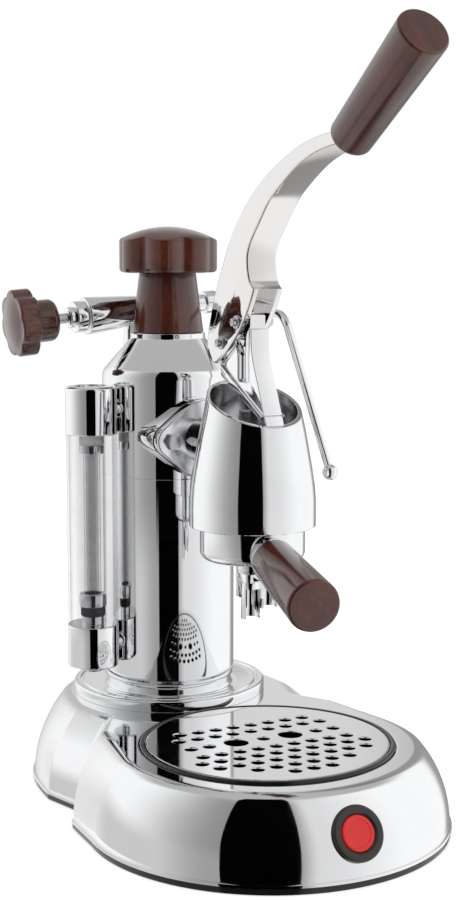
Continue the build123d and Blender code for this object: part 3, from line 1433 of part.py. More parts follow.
# portafilter_body: cup with two lugs and the arm
with BuildPart() as portafilter_body:
    add(section(group_plane, [
        (0, pf_low), (pf_r, pf_low), (pf_r, pf_step), (pf_collar_r, pf_step), (pf_collar_r, pf_top),
        (0, pf_top),
    ], [(1, 5.0), (4, 0.5)]))
    revolve(axis=group_axis)
    for side in (-90.0, 90.0):
        add(sector(lug_r, handle_deg + side - lug_half, handle_deg + side + lug_half, lug_low,
                   lug_top - lug_low))
    with BuildSketch(pf_arm_plane):
        Circle(arm_r)
    extrude(amount=arm_to)
    with Locations((0, group_y, pf_floor)):
        Cylinder(pf_in, pf_top - pf_floor, align=low, mode=Mode.SUBTRACT)
    with Locations((0, group_y, pf_low)):
        Cylinder(pf_hole, pf_floor, align=low, mode=Mode.SUBTRACT)
portafilter_body.part.label = "portafilter_body"
export_step(portafilter_body.part, "parts/portafilter_body.step")

# basket: perforated filter cup
basket_r = 26.4
basket_wall = 0.7
basket_low = 149.6
basket_rim_r = 29.3
basket_rim_t = 1.1
basket_rs = (5.0, 10.0, 15.0, 20.0)
with BuildPart() as basket:
    add(section(group_plane, [
        (0, basket_low), (basket_r, basket_low), (basket_r, pf_top), (basket_rim_r, pf_top),
        (basket_rim_r, pf_top + basket_rim_t), (basket_r - basket_wall, pf_top + basket_rim_t),
        (basket_r - basket_wall, basket_low + basket_wall), (0, basket_low + basket_wall),
    ], [(1, 3.0), (6, 2.3)]))
    revolve(axis=group_axis)
    with BuildSketch(Plane.XY.offset(basket_low)):
        with Locations((0, group_y)):
            for index, ring_at in enumerate(basket_rs):
                with PolarLocations(ring_at, ring_count * (index + 1)):
                    Circle(screen_hole)
    extrude(amount=basket_wall * 2, mode=Mode.SUBTRACT)
basket.part.label = "basket"
export_step(basket.part, "parts/basket.step")

# spout: two open channels under the portafilter
spout_r = 9.0
spout_low = 114.0
spout_x = 6.0
spout_y = 8.0
spout_wide = 5.5
spout_wall = 1.5
spout_back = 4.0
spout_top = 138.0
channel_top = 134.0
with BuildPart() as spout:
    with Locations((0, group_y, spout_top)):
        Cylinder(spout_r, pf_low - spout_top, align=low)
    with Locations((0, group_y - spout_back, channel_top - spout_wall * 2)):
        Box(spout_x * 2 + spout_wide * 2, spout_r * 2, spout_top - channel_top + spout_wall * 2, align=low)
    fillet(spout.edges().filter_by(Axis.Z), 2.0)
    for side in (-1, 1):
        with Locations((side * spout_x, group_y - spout_y, spout_low)):
            Cylinder(spout_wide, channel_top - spout_low, align=low)
    for side in (-1, 1):
        with Locations((side * spout_x, group_y - spout_y, spout_low)):
            Cylinder(spout_wide - spout_wall, channel_top - spout_low + spout_wall, align=low,
                     mode=Mode.SUBTRACT)
            Box(spout_wide * 2 - spout_wall * 2, spout_wide * 2, channel_top - spout_low - spout_wall * 3,
                align=(Align.CENTER, Align.MAX, Align.MIN), mode=Mode.SUBTRACT)
    with Locations((0, group_y, channel_top)):
        Cylinder(pf_hole, pf_low - channel_top, align=low, mode=Mode.SUBTRACT)
    with Locations((0, group_y - spout_y / 2, channel_top)):
        Box(spout_x * 2, spout_y, spout_wall * 2, mode=Mode.SUBTRACT)
spout.part.label = "spout"
export_step(spout.part, "parts/spout.step")

# ferrule: chrome ring of the portafilter handle
ferrule_from = 30.2
ferrule_to = 40.0
ferrule_r_in = 10.5
ferrule_r_out = 11.5
with BuildPart() as ferrule:
    add(section(pf_arm_section, [
        (ferrule_from, arm_r + fit_gap), (ferrule_from, ferrule_r_in), (ferrule_to, ferrule_r_out),
        (ferrule_to, arm_r + fit_gap),
    ], [(1, 1.5)]))
    revolve(axis=pf_arm_axis)
ferrule.part.label = "ferrule"
export_step(ferrule.part, "parts/ferrule.step")

# portafilter_handle: wooden grip
pf_wood_r = 12.0
pf_wood_end_r = 13.75
pf_wood_end = 107.1
with BuildPart() as portafilter_handle:
    add(section(pf_arm_section, [
        (ferrule_to, 0), (ferrule_to, pf_wood_r), (pf_wood_end, pf_wood_end_r), (pf_wood_end, 0),
    ], [(1, 0.6), (2, 1.4)]))
    revolve(axis=pf_arm_axis)
    with BuildSketch(pf_arm_plane):
        Circle(arm_r + fit_gap)
    extrude(amount=arm_to + fit_gap, mode=Mode.SUBTRACT)
portafilter_handle.part.label = "portafilter_handle"
export_step(portafilter_handle.part, "parts/portafilter_handle.step")
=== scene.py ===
"""Looks of a lever espresso machine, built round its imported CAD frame."""

import json
import logging
import math
from dataclasses import dataclass, field
from enum import Enum
from typing import Iterable, Optional, Sequence, Union

import bmesh
import bpy
from mathutils import Matrix, Vector
from mathutils.geometry import tessellate_polygon

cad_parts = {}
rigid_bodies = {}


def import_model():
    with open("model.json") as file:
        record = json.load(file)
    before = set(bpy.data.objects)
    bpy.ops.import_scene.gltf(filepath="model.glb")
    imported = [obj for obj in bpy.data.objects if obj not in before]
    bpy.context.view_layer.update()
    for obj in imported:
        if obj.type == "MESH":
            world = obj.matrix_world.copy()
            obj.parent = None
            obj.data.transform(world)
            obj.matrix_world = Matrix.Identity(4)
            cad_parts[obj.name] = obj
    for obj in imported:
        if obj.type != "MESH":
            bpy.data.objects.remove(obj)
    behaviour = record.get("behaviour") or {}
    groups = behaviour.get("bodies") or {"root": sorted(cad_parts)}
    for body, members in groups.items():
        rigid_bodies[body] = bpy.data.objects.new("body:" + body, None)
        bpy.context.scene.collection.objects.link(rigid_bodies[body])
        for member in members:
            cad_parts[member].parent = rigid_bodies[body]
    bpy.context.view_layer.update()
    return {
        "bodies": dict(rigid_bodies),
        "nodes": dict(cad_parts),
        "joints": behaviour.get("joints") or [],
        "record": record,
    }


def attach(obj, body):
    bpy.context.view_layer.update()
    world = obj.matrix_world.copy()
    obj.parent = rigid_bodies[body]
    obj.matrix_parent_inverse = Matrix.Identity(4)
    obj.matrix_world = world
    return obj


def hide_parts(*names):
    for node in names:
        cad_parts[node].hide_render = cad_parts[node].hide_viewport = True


LOG = logging.getLogger("espresso_machine")
Piece = bpy.types.Object
Point = tuple[float, float]
Spot = tuple[float, float, float]

# metres in a millimetre, and the angles in degrees over which an edge stays sharp
MM = 0.001
CRISP = 32.0
WOOD_CRISP = 50.0

# measures in millimetres that sub-assemblies share, and the handle's direction in degrees
TRAY_Y = -128.7
GROUP_Y = -110.5
FLANGE_Z = 204.5
BOILER_RADIUS = 39.64
FULCRUM: Point = (-90.5, 262.2)
VALVE_BOSS: Point = (-8.0, 29.5)
PIN_BORE = 2.25
HANDLE_TURN = -101.0


class Boolean(Enum):
    """Ways to combine two solids."""

    CUT = "DIFFERENCE"
    JOIN = "UNION"
    KEEP = "INTERSECT"


# placing


@dataclass(frozen=True)
class Place:
    """A local frame in millimetres: an origin and two directions of its plane."""

    origin: Vector
    u: Vector
    v: Vector

    @property
    def w(self) -> Vector:
        """Normal of the plane."""
        return self.u.cross(self.v).normalized()

    def at(self, a: float, b: float, c: float = 0.0) -> Vector:
        """A point of the frame in machine coordinates.

        Args:
            a: distance along u.
            b: distance along v.
            c: distance along the normal.

        Returns:
            The point in millimetres.
        """
        return self.origin + self.u * a + self.v * b + self.w * c

    @staticmethod
    def upright(x: float, y: float, z: float = 0.0) -> "Place":
        """Frame whose normal points up, at a place in plan."""
        return Place(Vector((x, y, z)), Vector((1, 0, 0)), Vector((0, 1, 0)))

    @staticmethod
    def side(spot: Point = (0.0, 0.0)) -> "Place":
        """Side view frame at a (y, z) spot of the middle plane, with +X as its normal."""
        return Place(Vector((0, *spot)), Vector((0, 1, 0)), Vector((0, 0, 1)))

    @staticmethod
    def front(y: float, z: float) -> "Place":
        """Front view frame at a spot of the middle plane, with -Y as its normal."""
        return Place(Vector((0, y, z)), Vector((1, 0, 0)), Vector((0, 0, 1)))

    @staticmethod
    def along(origin: Vector, direction: Vector) -> "Place":
        """Frame whose normal is a given direction.

        Args:
            origin: the frame's origin.
            direction: the wanted normal.

        Returns:
            The frame.
        """
        w = direction.normalized()
        hint = Vector((0, 0, 1)) if abs(w.z) < 0.9 else Vector((1, 0, 0))
        u = hint.cross(w).normalized()
        return Place(origin, u, w.cross(u).normalized())


# outlines


def rounded(points: Sequence[tuple], closed: bool = True, steps: int = 5) -> list[Point]:
    """Outline with rounded corners.

    Args:
        points: (a, b) or (a, b, radius) per corner.
        closed: whether the last point joins the first.
        steps: pieces of each corner's arc.

    Returns:
        The outline's points.
    """
    out: list[Point] = []
    count = len(points)
    for index, item in enumerate(points):
        here = Vector(item[:2])
        radius = item[2] if len(item) > 2 else 0.0
        if radius <= 0 or (not closed and index in (0, count - 1)):
            out.append((here.x, here.y))
            continue
        before = Vector(points[index - 1][:2])
        after = Vector(points[(index + 1) % count][:2])
        one, two = (before - here), (after - here)
        angle = one.angle(two)
        reach = radius / math.tan(angle / 2)
        reach = min(reach, one.length * 0.49, two.length * 0.49)
        radius = reach * math.tan(angle / 2)
        middle = here + (one.normalized() + two.normalized()).normalized() * (radius / math.sin(angle / 2))
        start = here + one.normalized() * reach - middle
        stop = here + two.normalized() * reach - middle
        turn = start.angle_signed(stop)
        for step in range(steps + 1):
            arm = start.copy()
            arm.rotate(Matrix.Rotation(-turn * step / steps, 2))
            out.append((middle.x + arm.x, middle.y + arm.y))
    return out


def smooth_line(points: Sequence[Point], per: int = 8) -> list[Point]:
    """Natural cubic spline through points.

    Args:
        points: points to pass through.
        per: samples per stretch.

    Returns:
        The samples, ends included.
    """
    count = len(points)
    knots = [0.0]
    for one, two in zip(points, points[1:]):
        knots.append(knots[-1] + math.dist(one, two))
    bends: list[list[float]] = []
    for axis in (0, 1):
        values = [p[axis] for p in points]
        low, mid, high, right = [0.0] * count, [1.0] * count, [0.0] * count, [0.0] * count
        for i in range(1, count - 1):
            a, b = knots[i] - knots[i - 1], knots[i + 1] - knots[i]
            low[i], mid[i], high[i] = a, 2 * (a + b), b
            right[i] = 6 * ((values[i + 1] - values[i]) / b - (values[i] - values[i - 1]) / a)
        for i in range(1, count):
            ratio = low[i] / mid[i - 1]
            mid[i] -= ratio * high[i - 1]
            right[i] -= ratio * right[i - 1]
        bend = [0.0] * count
        bend[-1] = right[-1] / mid[-1]
        for i in range(count - 2, -1, -1):
            bend[i] = (right[i] - high[i] * bend[i + 1]) / mid[i]
        bends.append(bend)
    out: list[Point] = []
    for i in range(count - 1):
        span = knots[i + 1] - knots[i]
        for step in range(per + (1 if i == count - 2 else 0)):
            t = span * step / per
            s = span - t
            spot = []
            for axis in (0, 1):
                p, q = points[i][axis], points[i + 1][axis]
                m, n = bends[axis][i], bends[axis][i + 1]
                spot.append(
                    m * s**3 / (6 * span) + n * t**3 / (6 * span)
                    + (p / span - m * span / 6) * s + (q / span - n * span / 6) * t
                )
            out.append((spot[0], spot[1]))
    return out


def arc(centre: Point, radius: float, start: float, stop: float, steps: int = 24) -> list[Point]:
    """Points of an arc, angles in degrees.

    Args:
        centre: the arc's centre.
        radius: its radius.
        start: angle of its first point.
        stop: angle of its last point.
        steps: pieces of the arc.

    Returns:
        The points, ends included.
    """
    out = []
    for step in range(steps + 1):
        angle = math.radians(start + (stop - start) * step / steps)
        out.append((centre[0] + radius * math.cos(angle), centre[1] + radius * math.sin(angle)))
    return out


def circle(centre: Point, radius: float, steps: int) -> list[Point]:
    """Points of a full circle, without a repeated first point."""
    return arc(centre, radius, 0, 360, steps)[:-1]


def rhombus(half: float = 23.0, offset: float = 22.0, end: float = 9.0) -> list[Point]:
    """Outline of the group flange: a hull round one large and two small circles.

    Args:
        half: radius of the middle circle.
        offset: distance of the end circles from the middle.
        end: radius of the end circles.

    Returns:
        The closed outline.
    """
    touch = math.degrees(math.acos((half - end) / offset))
    out = arc((offset, 0), end, -touch, touch, 16)
    out += arc((0, 0), half, touch, 180 - touch, 24)
    out += arc((-offset, 0), end, 180 - touch, 180 + touch, 16)
    return out + arc((0, 0), half, 180 + touch, 360 - touch, 24)


# meshes


def linked(name: str, data: bpy.types.ID) -> Piece:
    """New object of some data, linked to the scene.

    Args:
        name: the object's name.
        data: its mesh, lamp or camera data.

    Returns:
        The new object.
    """
    made = bpy.data.objects.new(name, data)
    bpy.context.scene.collection.objects.link(made)
    return made


class Net:
    """Points and faces of a mesh that grows ring by ring, in millimetres."""

    def __init__(self) -> None:
        """Starts empty."""
        self.verts: list[Vector] = []
        self.faces: list[list[int]] = []

    def ring(self, points: Iterable[Vector]) -> list[int]:
        """Adds points and gives their indices.

        Args:
            points: points in millimetres.

        Returns:
            Their indices.
        """
        start = len(self.verts)
        self.verts.extend(points)
        return list(range(start, len(self.verts)))

    def level(self, points: Iterable[Point], height: float) -> list[int]:
        """Adds the points of a level outline and gives their indices."""
        return self.ring(Vector((x, y, height)) for x, y in points)

    def skin(self, rings: Sequence[list[int]]) -> None:
        """Adds quads between neighbouring rings of the same length.

        Args:
            rings: indices of each ring.
        """
        for one, two in zip(rings, rings[1:]):
            for i in range(len(one)):
                j = (i + 1) % len(one)
                self.faces.append([one[i], one[j], two[j], two[i]])

    def plate(self, borders: Sequence[list[int]]) -> None:
        """Adds the flat face inside the first border and outside the others.

        Args:
            borders: indices of the outer border, then of each hole.
        """
        flat = [i for border in borders for i in border]
        for tri in tessellate_polygon([[self.verts[i] for i in border] for border in borders]):
            self.faces.append([flat[i] for i in tri])

    def build(self, name: str, crisp: float = CRISP) -> Piece:
        """Makes the object."""
        return Shape.build(name, self.verts, self.faces, crisp)


class Shape:
    """Mesh work in millimetres; objects come out in metres."""

    @staticmethod
    def build(name: str, verts: Sequence[Vector], faces: Sequence[Sequence[int]], crisp: float = CRISP) -> Piece:
        """Object from points and faces, with smooth shading.

        Args:
            name: the object's name.
            verts: points in millimetres.
            faces: vertex indices of each face.
            crisp: angle in degrees over which an edge stays sharp.

        Returns:
            The new object.
        """
        mesh = bpy.data.meshes.new(name)
        mesh.from_pydata([tuple(v * MM) for v in verts], [], [list(f) for f in faces])
        Shape.tidy(mesh, crisp)
        return linked(name, mesh)

    @staticmethod
    def tidy(mesh: bpy.types.Mesh, crisp: float = CRISP) -> None:
        """Welds, turns faces outward and sets smooth shading with sharp edges.

        Args:
            mesh: mesh that changes.
            crisp: angle in degrees over which an edge stays sharp.
        """
        work = bmesh.new()
        work.from_mesh(mesh)
        bmesh.ops.remove_doubles(work, verts=work.verts, dist=1e-6)
        bmesh.ops.recalc_face_normals(work, faces=work.faces)
        work.to_mesh(mesh)
        work.free()
        mesh.shade_smooth()
        mesh.set_sharp_from_angle(angle=math.radians(crisp))

    @staticmethod
    def lathe(name: str, profile: Sequence[Point], place: Place, turns: int = 128, closed: bool = False,
              crisp: float = CRISP) -> Piece:
        """Turned piece.

        Args:
            name: the object's name.
            profile: (radius, height) points; height runs along the frame's normal.
            place: frame of the axis.
            turns: steps round the axis.
            closed: whether the profile is a closed ring section.
            crisp: angle in degrees over which an edge stays sharp.

        Returns:
            The new object.
        """
        verts: list[Vector] = []
        rows: list[list[int]] = []
        for radius, height in profile:
            if radius <= 1e-6:
                rows.append([len(verts)] * turns)
                verts.append(place.at(0, 0, height))
                continue
            rows.append(list(range(len(verts), len(verts) + turns)))
            for step in range(turns):
                angle = 2 * math.pi * step / turns
                verts.append(place.at(radius * math.cos(angle), radius * math.sin(angle), height))
        faces = []
        pairs = list(zip(rows, rows[1:])) + ([(rows[-1], rows[0])] if closed else [])
        for low, high in pairs:
            for step in range(turns):
                nxt = (step + 1) % turns
                ring = [low[step], low[nxt], high[nxt], high[step]]
                ring = list(dict.fromkeys(ring))
                if len(ring) > 2:
                    faces.append(ring)
        return Shape.build(name, verts, faces, crisp)

    @staticmethod
    def prism(name: str, outline: Sequence[Point], place: Place, low: float, high: float, edge: float = 0.0,
              segments: int = 3, crisp: float = CRISP) -> Piece:
        """Flat-sided piece with eased edges.

        Args:
            name: the object's name.
            outline: closed outline in the frame.
            place: frame of the outline.
            low: start along the normal.
            high: end along the normal.
            edge: radius of the eased end edges.
            segments: pieces of each eased edge.
            crisp: angle in degrees over which an edge stays sharp.

        Returns:
            The new object.
        """
        net = Net()
        ends = [net.ring(place.at(a, b, height) for a, b in outline) for height in (low, high)]
        net.faces += [ends[0][::-1], ends[1]]
        net.skin(ends)
        made = net.build(name, crisp)
        if edge > 0:
            Shape.ease_caps(made, place, (low, high), edge, segments, crisp)
        return made

    @staticmethod
    def ease_caps(made: Piece, place: Place, levels: tuple[float, float], edge: float, segments: int,
                  crisp: float) -> None:
        """Rounds the edges of a prism's two end faces.

        Args:
            made: prism that changes.
            place: frame of its outline.
            levels: heights of its end faces along the normal.
            edge: radius of the eased edges.
            segments: pieces of each eased edge.
            crisp: angle in degrees over which an edge stays sharp.
        """
        work = bmesh.new()
        work.from_mesh(made.data)
        rims = []
        for e in work.edges:
            heights = [(v.co / MM - place.origin).dot(place.w) for v in e.verts]
            if any(all(abs(h - level) < 1e-3 for h in heights) for level in levels):
                rims.append(e)
        bmesh.ops.bevel(work, geom=rims, offset=edge * MM, segments=segments, profile=0.5, affect="EDGES",
                        clamp_overlap=True)
        work.to_mesh(made.data)
        work.free()
        Shape.tidy(made.data, crisp)

    @staticmethod
    def tube(name: str, path: Sequence[Vector], radius: float, inner: float = 0.0, sides: int = 40) -> Piece:
        """Round tube along a path.

        Args:
            name: the object's name.
            path: centre points in millimetres.
            radius: outer radius.
            inner: inner radius, zero for a rod.
            sides: steps round the tube.

        Returns:
            The new object.
        """
        last = len(path) - 1
        tangents = [(path[min(i + 1, last)] - path[max(i - 1, 0)]).normalized() for i in range(len(path))]
        u = Place.along(path[0], tangents[0]).u
        frames = []
        for spot, tangent in zip(path, tangents):
            u = (u - tangent * u.dot(tangent)).normalized()
            frames.append((spot, u, tangent.cross(u)))
        net = Net()
        turns = [2 * math.pi * step / sides for step in range(sides)]
        walls = [[net.ring(spot + a * (size * math.cos(t)) + b * (size * math.sin(t)) for t in turns)
                  for spot, a, b in frames] for size in ([radius, inner] if inner > 0 else [radius])]
        for wall in walls:
            net.skin(wall)
        if inner > 0:
            net.skin([walls[0][0], walls[1][0]])
            net.skin([walls[0][-1], walls[1][-1]])
        else:
            net.faces += [walls[0][0][::-1], walls[0][-1]]
        return net.build(name)

    @staticmethod
    def rod(name: str, radius: float, low: float, high: float, place: Place, turns: int) -> Piece:
        """Plain cylinder between two heights of its frame."""
        return Shape.lathe(name, [(0, low), (radius, low), (radius, high), (0, high)], place, turns)

    @staticmethod
    def drill(made: Piece, radius: float, low: float, high: float, place: Place, turns: int,
              crisp: float = CRISP) -> None:
        """Cuts a round hole between two heights of a frame."""
        Shape.combine(made, Shape.rod("drill", radius, low, high, place, turns), Boolean.CUT, crisp)

    @staticmethod
    def apply(made: Piece, crisp: float = CRISP) -> None:
        """Replaces an object's mesh by the result of its modifiers.

        Args:
            made: object that changes.
            crisp: angle in degrees over which an edge stays sharp.
        """
        mesh = bpy.data.meshes.new_from_object(made.evaluated_get(bpy.context.evaluated_depsgraph_get()))
        made.modifiers.clear()
        made.data = mesh
        Shape.tidy(mesh, crisp)

    @staticmethod
    def combine(base: Piece, tool: Piece, how: Boolean, crisp: float = CRISP) -> Piece:
        """Boolean of two objects; the tool is used up.

        Args:
            base: object that changes.
            tool: object that is used up.
            how: the way to combine.
            crisp: angle in degrees over which an edge stays sharp.

        Returns:
            The base object.
        """
        step = base.modifiers.new("combine", "BOOLEAN")
        step.object = tool
        step.operation = how.value
        step.solver = "EXACT"
        Shape.apply(base, crisp)
        bpy.data.objects.remove(tool)
        return base

    @staticmethod
    def join(name: str, parts: Sequence[Piece], crisp: float = CRISP) -> Piece:
        """Puts several meshes into one object.

        Args:
            name: the object's name.
            parts: objects that are used up.
            crisp: angle in degrees over which an edge stays sharp.

        Returns:
            The new object.
        """
        work = bmesh.new()
        for part in parts:
            work.from_mesh(part.data)
            bpy.data.objects.remove(part)
        mesh = bpy.data.meshes.new(name)
        work.to_mesh(mesh)
        work.free()
        Shape.tidy(mesh, crisp)
        return linked(name, mesh)

    @staticmethod
    def bevel(made: Piece, width: float, segments: int = 3, over: float = 35.0) -> Piece:
        """Eases every edge that is sharper than an angle.

        Args:
            made: object that changes.
            width: width of the eased edge in millimetres.
            segments: pieces of the eased edge.
            over: angle in degrees.

        Returns:
            The object.
        """
        step = made.modifiers.new("ease", "BEVEL")
        step.width = width * MM
        step.segments = segments
        step.limit_method = "ANGLE"
        step.angle_limit = math.radians(over)
        step.miter_outer = "MITER_ARC"
        Shape.apply(made)
        return made


class Lobes:
    """Polar outline of a knob: round lobes joined by blended valleys."""

    def __init__(self, reach: float, lobe: float, count: int, turn: float, blend: float) -> None:
        """Works out the valley.

        Args:
            reach: radius over the lobes.
            lobe: radius of one lobe.
            count: number of lobes.
            turn: angle of the first lobe in degrees.
            blend: radius of the valleys' blends.
        """
        self.centre = reach - lobe
        self.lobe = lobe
        self.count = count
        self.turn = math.radians(turn)
        self.half = math.pi / count
        valley = self.ball(self.half)
        tilt = math.asin(min(self.centre * math.sin(self.half) / lobe, 0.99))
        self.soft = blend * (1 / math.cos(tilt) - 1) / (valley * math.tan(tilt))

    def ball(self, angle: float) -> float:
        """Radius of one lobe's circle at an angle from its middle."""
        side = self.centre * math.sin(angle)
        return self.centre * math.cos(angle) + math.sqrt(max(self.lobe**2 - side**2, 0.0))

    def radii(self, steps: int = 22) -> list[tuple[float, float]]:
        """Angle and radius round the whole outline.

        Args:
            steps: points per lobe.

        Returns:
            The (angle, radius) pairs.
        """
        out = []
        for index in range(self.count * steps):
            share = (index % steps) / steps * 2 - 1
            gap = self.half * (1 - abs(share))
            near = math.sqrt(gap * gap + self.soft * self.soft)
            out.append((index * 2 * self.half / steps - self.half + self.turn, self.ball(self.half - near)))
        return out


# shader maths

Number = Union[float, "Wire"]


class Wire:
    """A node socket that can be used in arithmetic."""

    def __init__(self, recipe: "Recipe", socket: bpy.types.NodeSocket) -> None:
        """Wraps a socket of a recipe's node tree."""
        self.recipe = recipe
        self.socket = socket

    def _do(self, operation: str, *values: Number) -> "Wire":
        """Adds a Math node."""
        return self.recipe.node("ShaderNodeMath", {"operation": operation}, dict(enumerate(values))).out()

    def __add__(self, other: Number) -> "Wire":
        """Sum."""
        return self._do("ADD", self, other)

    __radd__ = __add__

    def __sub__(self, other: Number) -> "Wire":
        """Difference."""
        return self._do("SUBTRACT", self, other)

    def __rsub__(self, other: Number) -> "Wire":
        """Difference, reflected."""
        return self._do("SUBTRACT", other, self)

    def __mul__(self, other: Number) -> "Wire":
        """Product."""
        return self._do("MULTIPLY", self, other)

    __rmul__ = __mul__

    def __truediv__(self, other: Number) -> "Wire":
        """Quotient."""
        return self._do("DIVIDE", self, other)

    def __pow__(self, other: Number) -> "Wire":
        """Power."""
        return self._do("POWER", self, other)

    def clamp(self) -> "Wire":
        """The value held between zero and one."""
        return self.recipe.node("ShaderNodeClamp", {}, {0: self}).out()

    def step(self, low: float, high: float) -> "Wire":
        """Smooth rise from zero at low to one at high."""
        return self.recipe.node("ShaderNodeMapRange", {"interpolation_type": "SMOOTHSTEP"},
                                {0: self, 1: low, 2: high, 3: 0.0, 4: 1.0}).out()


class Made:
    """A node that was just made."""

    def __init__(self, recipe: "Recipe", node: bpy.types.Node) -> None:
        """Wraps a node of a recipe."""
        self.recipe = recipe
        self.node = node

    def out(self, which: Union[int, str] = 0) -> Wire:
        """One of the node's outputs."""
        return Wire(self.recipe, self.node.outputs[which])


class Recipe:
    """A material's node tree, made through one method."""

    def __init__(self, owner: Union[bpy.types.Material, bpy.types.World]) -> None:
        """Empties the node tree of a material or world.

        Args:
            owner: the material or world.
        """
        owner.use_nodes = True
        self.owner = owner
        self.tree = owner.node_tree
        self.tree.nodes.clear()

    @staticmethod
    def material(name: str) -> "Recipe":
        """Recipe of a new material."""
        return Recipe(bpy.data.materials.new(name))

    def dot(self, vector: Wire, other: Spot) -> Wire:
        """Dot product of a vector and a fixed direction."""
        return self.node("ShaderNodeVectorMath", {"operation": "DOT_PRODUCT"}, {0: vector, 1: other}).out("Value")

    def node(self, kind: str, settings: dict, values: dict) -> Made:
        """Adds a node.

        Args:
            kind: the node's type.
            settings: properties that are set first.
            values: socket index or name to a number, colour, vector or wire.

        Returns:
            The new node.
        """
        node = self.tree.nodes.new(kind)
        for key, value in settings.items():
            setattr(node, key, value)
        for key, value in values.items():
            socket = node.inputs[key]
            if isinstance(value, Wire):
                self.tree.links.new(value.socket, socket)
            elif isinstance(value, (tuple, list)) and len(value) == 3 and socket.type == "RGBA":
                socket.default_value = (*value, 1.0)
            else:
                socket.default_value = value
        return Made(self, node)

    def place(self, stretch: Spot = (1.0, 1.0, 1.0)) -> Wire:
        """Object coordinates, stretched."""
        spot = self.node("ShaderNodeTexCoord", {}, {}).out("Object")
        return self.node("ShaderNodeMapping", {}, {"Vector": spot, "Scale": stretch}).out()

    def noise(self, scale: float, detail: float = 3.0, rough: float = 0.5, stretch: Spot = (1.0, 1.0, 1.0)) -> Wire:
        """Noise value between zero and one.

        Args:
            scale: features per metre.
            detail: octaves.
            rough: weight of the finer octaves.
            stretch: stretch of the coordinates.

        Returns:
            The value.
        """
        return self.node("ShaderNodeTexNoise", {},
                         {"Vector": self.place(stretch), "Scale": scale, "Detail": detail, "Roughness": rough}).out(0)

    def tint(self, factor: Number, one: Spot, two: Spot) -> Wire:
        """Colour between two colours."""
        mixed = self.node("ShaderNodeMix", {"data_type": "RGBA"}, {0: factor, 6: (*one, 1.0), 7: (*two, 1.0)})
        return mixed.out(2)

    def bump(self, height: Wire, depth: float, strength: float = 1.0) -> Wire:
        """Normal bent by a height.

        Args:
            height: value between zero and one.
            depth: depth in metres of a full step.
            strength: how strongly it shows.

        Returns:
            The normal.
        """
        return self.node("ShaderNodeBump", {}, {"Height": height, "Distance": depth, "Strength": strength}).out()

    def surface(self, values: dict) -> bpy.types.Material:
        """Ends the recipe with a Principled shader.

        Args:
            values: its sockets.

        Returns:
            The material.
        """
        return self.end(self.node("ShaderNodeBsdfPrincipled", {}, values).out())

    def end(self, shader: Wire) -> bpy.types.Material:
        """Ends the recipe with a shader and gives the material."""
        self.node("ShaderNodeOutputMaterial", {}, {"Surface": shader})
        return self.owner

    def glow(self, tone: Wire) -> Wire:
        """Emission shader of a tone."""
        return self.node("ShaderNodeEmission", {}, {"Color": tone, "Strength": 1.0}).out()

    def seen(self) -> Wire:
        """One for camera, glossy and transmission rays, zero for all others."""
        rays = self.node("ShaderNodeLightPath", {}, {})
        return (rays.out("Is Camera Ray") + rays.out("Is Glossy Ray") + rays.out("Is Transmission Ray")).clamp()


# finishes


@dataclass(frozen=True)
class PolishedChrome:
    """Bright plated metal with faint wipe marks."""

    name: str = "polished_chrome"
    colour: Spot = (0.86, 0.865, 0.875)
    rough: float = 0.035
    haze: float = 0.035
    wave: float = 0.12

    def make(self) -> bpy.types.Material:
        """Builds the finish's nodes.

        Returns:
            The new material.
        """
        r = Recipe.material(self.name)
        smear = r.noise(38.0, 4.0, 0.6).step(0.45, 0.8)
        dust = r.noise(900.0, 2.0).step(0.66, 0.8)
        rough = smear * self.haze + dust * 0.03 + self.rough
        colour = r.tint(smear, self.colour, tuple(c * 0.97 for c in self.colour))
        normal = r.bump(r.noise(30.0, 1.0), 0.00004, self.wave)
        return r.surface({"Base Color": colour, "Metallic": 1.0, "Roughness": rough, "Normal": normal})


@dataclass(frozen=True)
class BrushedMetal:
    """Turned or ground metal with fine lines."""

    name: str
    colour: Spot
    rough: float = 0.22
    stretch: Spot = (1.0, 1.0, 14.0)
    spread: float = 0.14
    stained: float = 0.86

    def make(self) -> bpy.types.Material:
        """Builds the finish's nodes.

        Returns:
            The new material.
        """
        r = Recipe.material(self.name)
        lines = r.noise(260.0, 4.0, 0.6, self.stretch)
        stain = r.noise(60.0, 3.0).step(0.4, 0.8)
        colour = r.tint(stain, self.colour, tuple(c * self.stained for c in self.colour))
        return r.surface({"Base Color": colour, "Metallic": 1.0, "Roughness": lines * self.spread + self.rough,
                          "Normal": r.bump(lines, 0.00006, self.spread * 2)})


@dataclass(frozen=True)
class StainedWood:
    """Dark stained wood under a thin satin varnish."""

    name: str = "stained_wood"
    dark: Spot = (0.030, 0.0050, 0.0024)
    light: Spot = (0.092, 0.019, 0.0088)
    grain: Spot = (1.0, 1.0, 0.12)

    def make(self) -> bpy.types.Material:
        """Builds the finish's nodes.

        Returns:
            The new material.
        """
        r = Recipe.material(self.name)
        broad = r.noise(70.0, 3.0, 0.55, self.grain)
        fine = r.noise(520.0, 5.0, 0.65, self.grain)
        pores = r.noise(1500.0, 2.0, 0.5, self.grain).step(0.60, 0.74)
        shade = (broad * 0.7 + fine * 0.5 - 0.12).step(0.22, 0.78)
        colour = r.tint(shade, self.dark, self.light)
        deep = r.node("ShaderNodeMix", {"data_type": "RGBA", "blend_type": "MULTIPLY"},
                      {0: pores * 0.45, 6: colour, 7: (0.35, 0.25, 0.2, 1.0)}).out(2)
        return r.surface({"Base Color": deep, "Roughness": fine * 0.14 + 0.30,
                          "Normal": r.bump(fine * 0.6 - pores * 0.8, 0.00010, 0.28),
                          "Specular IOR Level": 0.15, "Coat Weight": 1.0, "Coat Roughness": 0.12, "Coat IOR": 1.6})


